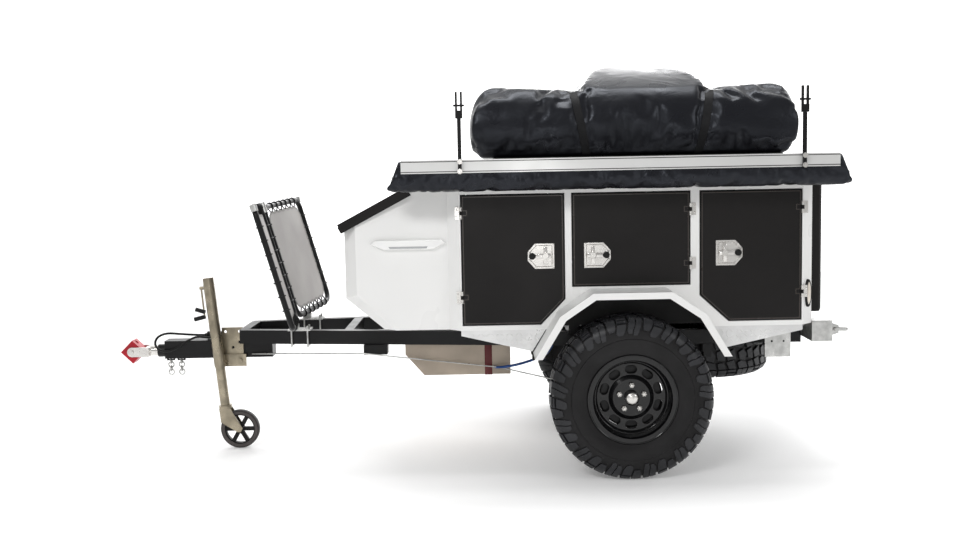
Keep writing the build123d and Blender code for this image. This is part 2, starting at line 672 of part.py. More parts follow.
def nose_box():
    back = BOX_NOSE
    skin = [(NOSE_FRONT, NOSE_STEP_Z), (NOSE_FRONT, LID_FOOT_Z), (LID_HEAD_X, LID_HEAD_Z), (back, ROOF_Z),
            (back, FLOOR_Z), (NOSE_FOOT_X, FLOOR_Z)]
    wall = NOSE_WALL
    core = [(NOSE_FRONT + wall, NOSE_STEP_Z + wall / 2), (NOSE_FRONT + wall, LID_FOOT_Z - wall / 2),
            (LID_HEAD_X + wall / 4, LID_HEAD_Z - wall), (back - wall, ROOF_Z - wall - 2), (back - wall, FLOOR_Z + wall),
            (NOSE_FOOT_X + wall / 2, FLOOR_Z + wall)]
    box = prism_y(skin, -NOSE_HALF, NOSE_HALF) - prism_y(core, -NOSE_HALF + wall, NOSE_HALF - wall)
    mouth = [on_slope(45, -60), on_slope(LID_RUN - 45, -60), on_slope(LID_RUN - 45, 20), on_slope(45, 20)]
    return box - prism_y(mouth, -NOSE_HALF + 45, NOSE_HALF - 45)


LID_HINGE = (LID_HEAD_X + 3.0, LID_HEAD_Z + 32.0)
LID_HINGE_Y = (-450.0, 450.0)
LID_STAND = LID_HINGE[1] - LID_HEAD_Z - 3.6


def lid_hinge_place(y):
    return Plane(origin=(LID_HINGE[0], y, LID_HINGE[1]), x_dir=(-1, 0, 0), z_dir=(0, -1, 0)).location


def nose_lid():
    half = NOSE_HALF + LID_LAP / 2
    slab = [on_slope(-LID_LAP, SEAT_GAP), on_slope(LID_RUN - 2, SEAT_GAP), on_slope(LID_RUN - 2, LID_T),
            on_slope(-LID_LAP, LID_T)]
    lid = prism_y(slab, -half, half)
    for y in LID_HINGE_Y:
        lid += lid_hinge_place(y) * hinge_knuckle(KNUCKLE_R + 6, 50)
    return lid


nodes["nose_box"] = nose_box()
nodes["nose_lid"] = nose_lid()
leaves += [lid_hinge_place(y) * hinge_leaf(LID_STAND) for y in LID_HINGE_Y]

# Rear hatch, hung from the roof's rear edge
HATCH_STAND = KNUCKLE_R * 2
HATCH_AXIS = (BOX_TAIL + 1.5, ROOF_Z + HATCH_STAND)
HATCH_HINGE_Y = (-420.0, 420.0)


def hatch_hinge_place(y):
    return Plane(origin=(HATCH_AXIS[0], y, HATCH_AXIS[1]), x_dir=(1, 0, 0), z_dir=(0, 1, 0)).location


def rear_hatch():
    face = BOX_TAIL + SEAT_GAP
    slab = block(face, face + HATCH_T, -HATCH_HALF, HATCH_HALF, HATCH_LOW, HATCH_TOP)
    slab = chamfer(slab.faces().sort_by(Axis.X)[-1].edges(), 12)
    for y in HATCH_HINGE_Y:
        half = THIRD / 2 - SEAT_GAP
        strap = block(face + 8, face + 32, y - half, y + half, HATCH_TOP - 5, HATCH_AXIS[1] - 5)
        slab += hatch_hinge_place(y) * hinge_knuckle(KNUCKLE_R + 1, 32) + strap
    return slab


def hatch_handle(y):
    face = BOX_TAIL + SEAT_GAP + HATCH_T
    middle = HATCH_LOW + 288
    pan = block(face, face + 4, y - 64, y + 64, middle - 63, middle + 63)
    return pan + block(face + 3, face + 14, y - 46, y + 46, middle - 11, middle + 11)


nodes["rear_hatch"] = rear_hatch()
nodes["hatch_latches"] = [hatch_handle(y) for y in HATCH_HINGE_Y]
leaves += [hatch_hinge_place(y) * hinge_leaf(HATCH_STAND) for y in HATCH_HINGE_Y]
nodes["hinge_leaves"] = leaves


def tail_lamp():
    """An oval lamp on the cut rear corner."""
    place = ((BOX_REAR + BOX_TAIL) / 2, -BODY_HALF + CORNER / 2, FLOOR_Z + 155)
    middle = Plane(origin=place, x_dir=(0, 0, 1), z_dir=(1, -1, 0))
    return extrude(middle * SlotOverall(140, 44), amount=16)


nodes["tail_lamps"] = pair(tail_lamp())


def porch_lamp():
    low = FLOOR_Z + 409
    housing = block(-462, -82, -NOSE_HALF - 22, -NOSE_HALF, low, low + 52)
    return chamfer(housing.faces().sort_by(Axis.Y)[0].edges(), 10)


nodes["porch_lamps"] = pair(porch_lamp())

# Roof rack, tent and awning
def roof_rack():
    bars = []
    for x in RACK_X:
        bar = block(x - RACK_BAR / 2, x + RACK_BAR / 2, -RACK_HALF, RACK_HALF, RACK_TOP - RACK_BAR, RACK_TOP)
        for y in (-RACK_FOOT_Y, RACK_FOOT_Y):
            bar += block(x - 35, x + 35, y - 30, y + 30, ROOF_Z, RACK_TOP - RACK_BAR + 1)
        bars.append(bar)
    return bars


def tent_pack():
    """Folded tent in its cover: the side outline met by the end outline."""
    bulge, lean = 45.0, 90.0
    waist, saddle = (TENT_LOW + TENT_SHOULDER) / 2, TENT_SHOULDER - 30
    cheek, brow = TENT_TOP - HUMP_CHEEK * HUMP_RISE, TENT_TOP - HUMP_BROW * HUMP_RISE
    front_foot, front_knee, rear_knee, rear_foot = HUMP
    sides = [
        Line((TENT_FRONT + 30, TENT_LOW), (TENT_REAR - 30, TENT_LOW)),
        ThreePointArc((TENT_REAR - 30, TENT_LOW), (TENT_REAR, waist), (TENT_REAR - 40, TENT_SHOULDER)),
        Line((TENT_REAR - 40, TENT_SHOULDER), (rear_foot, saddle)),
        ThreePointArc((rear_foot, saddle), (rear_knee + 40, cheek), (rear_knee - 60, brow)),
        ThreePointArc((rear_knee - 60, brow), ((front_knee + rear_knee) / 2, TENT_TOP), (front_knee + 60, brow)),
        ThreePointArc((front_knee + 60, brow), (front_knee - 40, cheek), (front_foot, saddle)),
        Line((front_foot, saddle), (TENT_FRONT + 60, TENT_SHOULDER)),
        ThreePointArc((TENT_FRONT + 60, TENT_SHOULDER), (TENT_FRONT, waist), (TENT_FRONT + 30, TENT_LOW)),
    ]
    long_form = extrude(Plane.XZ.offset(-TENT_HALF) * make_face(sides), amount=2 * TENT_HALF + 2, both=True)
    belly, eave = TENT_LOW + BELLY_SHARE * TENT_DEPTH, TENT_SHOULDER - 20
    foot, edge = TENT_HALF - bulge, TENT_HALF - lean
    ends = [
        Line((-foot, TENT_LOW), (foot, TENT_LOW)),
        ThreePointArc((foot, TENT_LOW), (TENT_HALF, belly), (edge, eave)),
        ThreePointArc((edge, eave), (0, TENT_TOP), (-edge, eave)),
        ThreePointArc((-edge, eave), (-TENT_HALF, belly), (-foot, TENT_LOW)),
    ]
    cross_face = Plane.YZ.offset(TENT_FRONT - 5) * make_face(ends)
    return long_form & extrude(cross_face, amount=TENT_REAR - TENT_FRONT + 10, dir=(1, 0, 0))


def awning_profile():
    face = block(AWNING_FRONT, AWNING_REAR, -AWNING_FACE, -AWNING_FACE + AWNING_T, AWNING_LOW, AWNING_TOP)
    face += block(AWNING_FRONT, AWNING_REAR, -AWNING_FACE, -RACK_HALF, AWNING_TOP - AWNING_T, AWNING_TOP)
    return face + block(AWNING_FRONT, AWNING_REAR, -RACK_HALF - AWNING_T, -RACK_HALF, AWNING_LOW, AWNING_TOP)


def awning_bag():
    """A closed bag that hangs below the profile, drawn in to a point at each end."""
    outer, inner = -AWNING_FACE + AWNING_T + SEAT_GAP, -RACK_HALF - AWNING_T - SEAT_GAP
    head = AWNING_TOP - AWNING_T - SEAT_GAP
    section = [(outer, head), (inner, head), (inner, BAG_LOW + 30),
               (inner - 28, BAG_LOW), (outer + 28, BAG_LOW), (outer, BAG_LOW + 30)]
    bag = prism_x(section, AWNING_FRONT - BAG_END, AWNING_REAR + BAG_END)
    front = [(AWNING_FRONT - BAG_END - 1, AWNING_TOP), (AWNING_FRONT - 10, AWNING_TOP),
             (AWNING_FRONT - BAG_END + 12, BAG_LOW + 24), (AWNING_FRONT - BAG_END - 1, BAG_LOW + 24)]
    rear = [(AWNING_FRONT + AWNING_REAR - x, z) for x, z in front]
    return bag - prism_y(front, -OUTER_Y, -TENT_HALF) - prism_y(rear, -OUTER_Y, -TENT_HALF)


def awning_post(x):
    """A flat bar bolted to the profile, with a forked head."""
    back, front = -AWNING_FACE, -AWNING_FACE - POST_T
    fork = POST_TOP - PRONG_LEN
    bar = block(x - POST_HALF, x + POST_HALF, front, back, AWNING_LOW - 6, fork - 10)
    bar += block(x - 17, x + 17, front - 6, back, fork - 35, fork + 2)
    for side in (-1, 1):
        prong = x + side * PRONG_OFF
        bar += block(prong - 5, prong + 5, front, back, fork, POST_TOP)
    pin_y, pin_z = (front + back) / 2, fork + 26
    bar += rod((x - 26, pin_y, pin_z), (x + 26, pin_y, pin_z), 5)
    for level in (AWNING_LOW + 8, AWNING_TOP - 10):
        bar += rod((x, front, level), (x, front - 8, level), 8)
    return bar


nodes["roof_rack"] = roof_rack()
nodes["tent_base"] = block(TENT_FRONT + 100, TENT_REAR - 60, -TENT_HALF + 20, TENT_HALF - 20, RACK_TOP, TENT_LOW)
nodes["tent_pack"] = tent_pack()
nodes["awning_profile"] = awning_profile()
nodes["awning_bag"] = awning_bag()
nodes["awning_posts"] = [awning_post(x) for x in POST_X]

# Jack: sleeve on a swing plate, sliding leg, caster fork and wheel
LEAN = radians(JACK_LEAN)
JACK_AXIS = (-sin(LEAN), 0.0, cos(LEAN))
BORE_R = JACK_R - JACK_WALL
LEG_R = BORE_R - RUN_FIT
KING_R = 10.0
MOUNT_T = 12.0
MOUNT_FACE = -TONGUE_HALF - MOUNT_T
SWING_T = 12.0


def on_jack(z, out=0.0):
    """A point on the leaning axis at height z, moved along it by out."""
    x = JACK_TOP_X + (JACK_TOP_Z - z) * sin(LEAN) / cos(LEAN)
    return (x + out * JACK_AXIS[0], JACK_Y, z + out * JACK_AXIS[2])


# Bolt holes in the plate on the tongue, as (x, z)
MOUNT_HOLES = ((-1360.0, 650.0), (-1282.0, 650.0), (-1282.0, 590.0), (-1320.0, 560.0))
MOUNT_BOLT_R = 8.0
EAR_HALF = 34.0


def jack_mount():
    """The plate on the tongue's side, with the pin that the jack swings on."""
    plate = block(-1380, -1262, MOUNT_FACE, -TONGUE_HALF, TONGUE_LOW + 5, RAIL_TOP - 2)
    plate += rod((PIVOT_X, -TONGUE_HALF, PIVOT_Z), (PIVOT_X, MOUNT_FACE, PIVOT_Z), 2.2 * PIVOT_R)
    for x, z in MOUNT_HOLES:
        plate -= rod((x, MOUNT_FACE - 1, z), (x, 0, z), MOUNT_BOLT_R)
    pin_end = MOUNT_FACE - SWING_T - 14
    return plate + rod((PIVOT_X, -TONGUE_HALF, PIVOT_Z), (PIVOT_X, pin_end, PIVOT_Z), PIVOT_R)


def jack_sleeve():
    """The outer tube, on an arm and a plate that swing on the mount's pin."""
    sleeve = rod(on_jack(JACK_SLEEVE_Z), on_jack(JACK_TOP_Z), JACK_R)
    swing_face = MOUNT_FACE - SEAT_GAP
    arm_x = on_jack(PIVOT_Z)[0]
    low, high = PIVOT_Z - EAR_HALF, PIVOT_Z + EAR_HALF
    ear = block(arm_x - 22, PIVOT_X + EAR_HALF, swing_face - SWING_T, swing_face, low, high)
    arm = block(arm_x - 22, arm_x + 22, JACK_Y, swing_face, low, high)
    body = sleeve + ear + arm
    body -= rod(on_jack(JACK_SLEEVE_Z, -60), on_jack(JACK_TOP_Z, -8), BORE_R)
    return body - rod((PIVOT_X, 0, PIVOT_Z), (PIVOT_X, -200, PIVOT_Z), PIVOT_R + RUN_FIT)


CRANK_TOP_Z = JACK_TOP_Z - 56.0
CRANK_LOW_Z = JACK_TOP_Z - 191.0
CRANK_BAR = 5.0
GRIP_R = 11.0


def jack_crank():
    """Folded winding handle against the front of the sleeve, with its two grips."""
    side = JACK_R / cos(LEAN) + 0.8
    top_x, low_x = on_jack(CRANK_TOP_Z)[0] - side, on_jack(CRANK_LOW_Z)[0] - side
    boss = rod((top_x, JACK_Y, CRANK_TOP_Z), (top_x - 22, JACK_Y, CRANK_TOP_Z), 9)
    arm = rod((top_x - 14, JACK_Y, CRANK_TOP_Z), (low_x - 14, JACK_Y, CRANK_LOW_Z - 28), CRANK_BAR)
    grips = [rod((low_x - 10, JACK_Y, CRANK_LOW_Z), (low_x - 62, JACK_Y, CRANK_LOW_Z + 16), GRIP_R),
             rod((low_x - 10, JACK_Y, CRANK_LOW_Z - 25), (low_x - 70, JACK_Y, CRANK_LOW_Z - 40), GRIP_R)]
    return boss + arm + grips


LEG_TOP_Z = TONGUE_LOW + 240.0
FLANGE_R = 36.0


def jack_leg():
    leg = rod(on_jack(JACK_FOOT_Z), on_jack(LEG_TOP_Z), LEG_R) + rod(on_jack(JACK_FOOT_Z), on_jack(JACK_FOOT_Z, 8), FLANGE_R)
    leg -= rod(on_jack(JACK_FOOT_Z, 60), on_jack(LEG_TOP_Z, 1), LEG_R - 4)
    return leg - rod(on_jack(JACK_FOOT_Z, -1), on_jack(JACK_FOOT_Z, 40), KING_R + RUN_FIT)


FORK_GAP = 5.0
FORK_T = 4.0
FORK_HALF = JACK_WHEEL_HALF + FORK_GAP + FORK_T
WHEEL_PIN_R = 8.0
JACK_WHEEL_X = on_jack(JACK_WHEEL_R)[0] + JACK_TRAIL


def jack_fork():
    crown = on_jack(JACK_FOOT_Z, -SEAT_GAP)
    fork = rod(on_jack(JACK_FOOT_Z, -10), crown, FLANGE_R)
    fork += rod(on_jack(JACK_FOOT_Z, -5), on_jack(JACK_FOOT_Z, 38), KING_R)
    x0, z0 = crown[0], crown[2] - 6
    cheek = [(x0 - 30, z0 - 2), (x0 + 30, z0 + 1), (JACK_WHEEL_X + 18, JACK_WHEEL_R + 6),
             (JACK_WHEEL_X + 6, JACK_WHEEL_R - 16), (JACK_WHEEL_X - 12, JACK_WHEEL_R - 14), (x0 - 22, JACK_WHEEL_R + 42)]
    for side in (-1, 1):
        inner, outer = JACK_Y + side * (FORK_HALF - FORK_T), JACK_Y + side * FORK_HALF
        fork += prism_y(cheek, min(inner, outer), max(inner, outer))
    return fork + rod((JACK_WHEEL_X, JACK_Y - FORK_HALF, JACK_WHEEL_R), (JACK_WHEEL_X, JACK_Y + FORK_HALF, JACK_WHEEL_R),
                      WHEEL_PIN_R)


SPOKES = 6


def jack_wheel():
    half = JACK_WHEEL_HALF
    rim_r = JACK_WHEEL_R - 22
    tread = [(rim_r, -half + 2), (JACK_WHEEL_R - 6, -half), (JACK_WHEEL_R, -half + 7), (JACK_WHEEL_R, half - 7),
             (JACK_WHEEL_R - 6, half), (rim_r, half - 2)]
    wheel = revolve(Plane.XY * outline(tread), axis=Axis.Y)
    wheel += revolve(Plane.XY * outline([(rim_r - 8, -13), (rim_r + 1, -13), (rim_r + 1, 13), (rim_r - 8, 13)]), axis=Axis.Y)
    wheel += rod((0, -half, 0), (0, half, 0), 24)
    for i in range(SPOKES):
        wheel += Rot(0, 360.0 / SPOKES * i, 0) * block(18, rim_r, -8, 8, -11, 11)
    wheel -= rod((0, -half - 1, 0), (0, half + 1, 0), WHEEL_PIN_R + RUN_FIT)
    return Pos(JACK_WHEEL_X, JACK_Y, JACK_WHEEL_R) * wheel


nodes["jack_mount"] = jack_mount()
nodes["jack_sleeve"] = [jack_sleeve(), jack_crank()]
nodes["jack_leg"] = jack_leg()
nodes["jack_fork"] = jack_fork()
nodes["jack_wheel"] = jack_wheel()

# Coupling: socket on the tongue, rolling yoke, pitching block
BLOCK_X = FRONT_TIP_X + BLOCK_DIAGONAL
SOCKET_FRONT = TONGUE_FRONT - 46
YOKE_BACK = BLOCK_X + BLOCK_DIAGONAL + 10


def coupling_socket():
    socket = rod((SOCKET_FRONT, 0, COUPLING_Z), (TONGUE_FRONT, 0, COUPLING_Z), SHAFT_R + 14)
    return socket - rod((SOCKET_FRONT - 1, 0, COUPLING_Z), (TONGUE_FRONT - 4, 0, COUPLING_Z), SHAFT_R + RUN_FIT)


def coupling_yoke():
    inner = BLOCK_HALF_W + 1
    outer = inner + YOKE_PLATE
    yoke = rod((YOKE_BACK, 0, COUPLING_Z), (TONGUE_FRONT - 5, 0, COUPLING_Z), SHAFT_R)
    yoke += rod((YOKE_BACK + 14, 0, COUPLING_Z), (SOCKET_FRONT - SEAT_GAP, 0, COUPLING_Z), SHAFT_R + 8)
    yoke += block(YOKE_BACK, YOKE_BACK + 18, -outer, outer, COUPLING_Z - 27, COUPLING_Z + 27)
    for side in (-1, 1):
        near, away = side * inner, side * outer
        cheek = block(BLOCK_X, YOKE_BACK + 18, min(near, away), max(near, away), COUPLING_Z - 27, COUPLING_Z + 27)
        yoke += cheek + rod((BLOCK_X, near, COUPLING_Z), (BLOCK_X, away, COUPLING_Z), 27)
    return yoke + rod((BLOCK_X, -outer - 10, COUPLING_Z), (BLOCK_X, outer + 10, COUPLING_Z), BLOCK_PIN_R)


def coupling_block():
    """A resilient block on the yoke's pin, with the tow pin's hole through it."""
    side = BLOCK_DIAGONAL * 2 ** 0.5
    cube = Box(side, 2 * BLOCK_HALF_W, side)
    cube -= rod((TOW_HOLE_OFF, 0, -side), (TOW_HOLE_OFF, 0, side), TOW_HOLE_R)
    cube -= rod((0, -100, 0), (0, 100, 0), BLOCK_PIN_R + RUN_FIT)
    return Pos(BLOCK_X, 0, COUPLING_Z) * Rot(0, 45, 0) * cube


nodes["coupling_yoke"] = coupling_yoke()
nodes["coupling_block"] = coupling_block()

CHAIN_R = 15.0
CHAIN_BAR = 4.0
CHAIN_X = -1690.0
CHAIN_APART = 60.0
CHAIN_LINKS = 4


def chain(x):
    """Round links that hang from an eye under the tongue, each turned a quarter from the last."""
    pitch = 2 * (CHAIN_R - CHAIN_BAR) - 0.6
    top = TONGUE_LOW - 14 - CHAIN_R + 2 * CHAIN_BAR + SEAT_GAP
    links = []
    for i in range(CHAIN_LINKS):
        turn = Rot(90, 0, 0) if i % 2 else Rot(0, 90, 0)
        links.append(Pos(x, 0, top - i * pitch) * turn * Torus(CHAIN_R, CHAIN_BAR))
    return links


def chain_eye(x):
    foot = TONGUE_LOW - 14
    eye = rod((x - 18, 0, foot), (x + 18, 0, foot), CHAIN_BAR)
    return eye + [block(x + end - 4, x + end + 4, -6, 6, foot - 4, TONGUE_LOW) for end in (-18, 18)]


nodes["safety_chains"] = chain(CHAIN_X) + chain(CHAIN_X + CHAIN_APART)
nodes["tongue"] = tongue() + coupling_socket() + chain_eye(CHAIN_X) + chain_eye(CHAIN_X + CHAIN_APART)
nodes["chassis_frame"] = chassis_frame() + spare_carrier()

# Stone guard
GUARD_WIDE = Vector(*GUARD_SWEEP).length
GUARD_TALL = Vector(*GUARD_LEAN).length


def guard_plane():
    """Wing plane at the foot of its inner post: X out along the wing, Y up the post."""
    x_dir = Vector(GUARD_SWEEP[0], -GUARD_SWEEP[1], GUARD_SWEEP[2])
    return Plane(origin=(GUARD_FOOT[0], -GUARD_FOOT[1], GUARD_FOOT[2]), x_dir=x_dir, z_dir=x_dir.cross(Vector(*GUARD_LEAN)))


def guard_frame():
    ring = fillet(Rectangle(GUARD_WIDE, GUARD_TALL).vertices(), GUARD_CORNER).wire()
    section = Plane(origin=ring @ 0, z_dir=ring % 0) * Circle(GUARD_TUBE_R)
    return guard_plane().location * Pos(GUARD_WIDE / 2, GUARD_TALL / 2, 0) * sweep(section, path=ring)


LACES_WIDE = 5
LACES_TALL = 5
LACE_R = 3.0


def guard_mesh():
    """The mesh panel, with the cord loops that lace it to its frame."""
    edge = GUARD_TUBE_R + MESH_INSET
    wide, tall = GUARD_WIDE - 2 * edge, GUARD_TALL - 2 * edge
    panel = extrude(fillet(Rectangle(wide, tall).vertices(), GUARD_CORNER - MESH_INSET), amount=MESH_T / 2, both=True)
    reach = MESH_INSET - SEAT_GAP
    for i in range(LACES_WIDE):
        x = (i + 0.5 - LACES_WIDE / 2) * (wide - 120) / LACES_WIDE
        for side in (-1, 1):
            panel += rod((x, side * (tall / 2 - 4), 0), (x, side * (tall / 2 + reach), 0), LACE_R)
    for i in range(LACES_TALL):
        y = (i + 0.5 - LACES_TALL / 2) * (tall - 120) / LACES_TALL
        for side in (-1, 1):
            panel += rod((side * (wide / 2 - 4), y, 0), (side * (wide / 2 + reach), y, 0), LACE_R)
    return guard_plane().location * Pos(GUARD_WIDE / 2, GUARD_TALL / 2, 0) * panel


GUARD_CLAMP_X = -910.0


def guard_clamp():
    """A plate across the rail, held by two U-bolts, with the post that carries the wing's lower tube."""
    y = rail_y(GUARD_CLAMP_X)
    plate = block(GUARD_CLAMP_X - 62, GUARD_CLAMP_X + 62, y - 45, y + 45, RAIL_TOP, RAIL_TOP + 8)
    for x in (GUARD_CLAMP_X - 45, GUARD_CLAMP_X + 45):
        for side in (-1, 1):
            leg_y = rail_y(x) + side * (RAIL_W / 2 + 8)
            plate += rod((x, leg_y, RAIL_LOW - 14), (x, leg_y, RAIL_TOP + 26), 5)
        plate += rod((x, rail_y(x) - RAIL_W / 2 - 13, RAIL_LOW - 9), (x, rail_y(x) + RAIL_W / 2 + 13, RAIL_LOW - 9), 5)
    share = (-y - GUARD_FOOT[1]) / GUARD_SWEEP[1]
    tube_x = GUARD_FOOT[0] + share * GUARD_SWEEP[0]
    tube_z = GUARD_FOOT[2] + share * GUARD_SWEEP[2] - GUARD_TUBE_R - SEAT_GAP
    return plate + block(tube_x - 20, tube_x + 20, y - 20, y + 20, RAIL_TOP + 7, tube_z - 1)


nodes["guard_frames"] = pair(guard_frame())
nodes["guard_meshes"] = pair(guard_mesh())
nodes["guard_clamps"] = pair(guard_clamp())

# Under the floor
tank_side = [(TANK_FRONT, RAIL_LOW), (TANK_FRONT, RAIL_LOW - 55), (TANK_FRONT + 100, TANK_LOW),
             (TANK_REAR, TANK_LOW), (TANK_REAR, RAIL_LOW)]
nodes["tank_tray"] = prism_y(tank_side, -TANK_HALF, TANK_HALF)
nodes["wiring_box"] = block(-554, -426, -330, -250, RAIL_LOW - 52, RAIL_LOW)
CABLE_ROUTE = [(-1215, -56, 520), (-560, -352, 560), (180, -352, 470), (600, -540, 400), (800, -TUB_Y + 1.8, 455)]
nodes["brake_cable"] = pipe(CABLE_ROUTE, CABLE_R, 60)


PLATE_FRONT = 1520.0
PLATE_BOLTS = 60.0
PLATE_BOLT_R = 5.5


def plate_bracket():
    """A blank plate holder hung behind the sill, with two bolt holes."""
    y = -BODY_HALF + 60
    panel = block(PLATE_FRONT, PLATE_FRONT + 130, y - 4, y, FLOOR_Z - 171, FLOOR_Z)
    for x in (PLATE_FRONT + 35, PLATE_FRONT + 35 + PLATE_BOLTS):
        panel -= rod((x, y - 10, FLOOR_Z - 91), (x, y + 10, FLOOR_Z - 91), PLATE_BOLT_R)
    return panel


nodes["rear_bumper"] = [rear_bumper(), plate_bracket()]

os.makedirs("parts", exist_ok=True)
for name, shape in nodes.items():
    solids = ShapeList(shape if isinstance(shape, list) else [shape])
    whole = Compound(children=[solid for piece in solids for solid in piece.solids()])
    export_step(whole, f"parts/{name}.step")
print(len(nodes), "nodes")
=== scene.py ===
# %% [markdown]
# # An off-road camping trailer, dressed in Blender
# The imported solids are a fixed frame: every piece here is made in metres, in the same place and
# size as the solid it dresses. The hitch points to -X and the awning is on the -Y side.

# %% Load the frame and keep its box
import json
import math
from collections import namedtuple

import bmesh
import bpy
import numpy as np
from mathutils import Matrix, Vector
from mathutils.bvhtree import BVHTree


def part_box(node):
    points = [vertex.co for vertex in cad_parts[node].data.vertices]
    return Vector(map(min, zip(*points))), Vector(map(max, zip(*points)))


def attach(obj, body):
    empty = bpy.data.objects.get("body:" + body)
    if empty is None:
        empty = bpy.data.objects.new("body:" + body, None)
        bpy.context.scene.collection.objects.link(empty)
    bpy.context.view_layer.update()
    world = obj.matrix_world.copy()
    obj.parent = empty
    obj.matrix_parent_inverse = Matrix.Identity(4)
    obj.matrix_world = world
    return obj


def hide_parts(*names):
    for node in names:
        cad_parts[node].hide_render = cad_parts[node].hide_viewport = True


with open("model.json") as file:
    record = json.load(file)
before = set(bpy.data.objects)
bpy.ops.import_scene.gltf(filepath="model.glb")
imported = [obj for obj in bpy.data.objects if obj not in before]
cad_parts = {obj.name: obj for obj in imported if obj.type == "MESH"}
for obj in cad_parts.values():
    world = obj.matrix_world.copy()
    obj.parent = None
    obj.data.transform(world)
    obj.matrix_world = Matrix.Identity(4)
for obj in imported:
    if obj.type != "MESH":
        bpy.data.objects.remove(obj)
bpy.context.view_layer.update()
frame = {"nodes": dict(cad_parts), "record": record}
nodes = frame["nodes"]
print("solids loaded:", len(nodes))

# %% [markdown]
# ## Camera and light
# The photograph is taken square to the trailer's side, a little above its doors, with a slight
# roll. A camera is easiest to match from a few plain numbers: where it stands, how far it looks
# down, how much it rolls and its lens. Large soft lamps round a pale floor give studio light.

# %% Camera
CAMERA_AT = Vector((0.13, -6.24, 1.555))
LOOK_DOWN = math.radians(5.67)
ROLL = math.radians(-1.1)
IMAGE_WIDTH = 978
FOCAL_PIXELS = 1108
SENSOR = 36.0


def link(name, data):
    """An object with its data, in the scene."""
    item = bpy.data.objects.new(name, data)
    bpy.context.collection.objects.link(item)
    return item


camera = link("camera", bpy.data.cameras.new("camera"))
camera.data.sensor_width = SENSOR
camera.data.lens = FOCAL_PIXELS / IMAGE_WIDTH * SENSOR
facing = Matrix.Rotation(math.pi / 2 - LOOK_DOWN, 4, "X") @ Matrix.Rotation(ROLL, 4, "Z")
camera.matrix_world = Matrix.Translation(CAMERA_AT) @ facing
bpy.context.scene.camera = camera
print("camera lens:", round(camera.data.lens, 1), "mm")

# %% Lamps and sky
# Each lamp's place, the point it faces, its size and its power in watts
LAMPS = {
    "key_lamp": ((-2.5, -6.5, 5.5), (0, 0, 0.9), (3, 1.2), 205),
    "fill_lamp": ((5.5, -4.5, 3.5), (0.4, 0, 0.9), (3, 2), 70),
    "top_lamp": ((0.2, 0.0, 6.5), (0.2, 0, 0), (5, 1.5), 230),
    "front_lamp": ((0.4, -7.5, 1.3), (0.6, 0, 0.6), (1.6, 0.8), 20),
    "back_lamp": ((1.0, 6.0, 4.5), (0, 0, 1.0), (6, 3), 200),
}
SKY_STRENGTH = 0.34
WHITE = (1, 1, 1, 1)
for name, (place, aim, size, power) in LAMPS.items():
    light = bpy.data.lights.new(name, "AREA")
    light.shape = "RECTANGLE"
    light.size, light.size_y = size
    light.energy = power
    item = link(name, light)
    item.location = place
    item.rotation_euler = (Vector(aim) - Vector(place)).to_track_quat("-Z", "Y").to_euler()
world = bpy.data.worlds.new("pale_sky")
world.use_nodes = True
sky = world.node_tree.nodes["Background"]
sky.inputs["Color"].default_value = WHITE
sky.inputs["Strength"].default_value = SKY_STRENGTH
bpy.context.scene.world = world
bpy.context.scene.view_settings.view_transform = "Standard"
print("lamps:", len(LAMPS))

# %% [markdown]
# ## Shared surface effects
# Paint, zinc, rubber and cloth share a few effects: a slow drift of tone, a fine grain and soft
# folds. They are one node group, built once and placed in each material with its own numbers, so a
# change to an effect reaches every finish.

# %% A group with a cloudy mask, a grain and folds
CLOUD_EDGES = (0.35, 0.65)


def new_group(name, ins, outs):
    """A shader group with its sockets; ins are (name, type, default), outs are (name, type)."""
    group = bpy.data.node_groups.new(name, "ShaderNodeTree")
    for label, kind, value in ins:
        socket = group.interface.new_socket(label, in_out="INPUT", socket_type=kind)
        socket.default_value = value
    for label, kind in outs:
        group.interface.new_socket(label, in_out="OUTPUT", socket_type=kind)
    return group, group.nodes.new("NodeGroupInput"), group.nodes.new("NodeGroupOutput")


def add(tree, kind, links=(), **values):
    """A node with its settings; links are (socket name or index, source socket or value)."""
    node = tree.nodes.new(kind)
    for key, value in values.items():
        setattr(node, key, value)
    for key, source in links:
        if hasattr(source, "is_linked"):
            tree.links.new(source, node.inputs[key])
        else:
            node.inputs[key].default_value = source
    return node


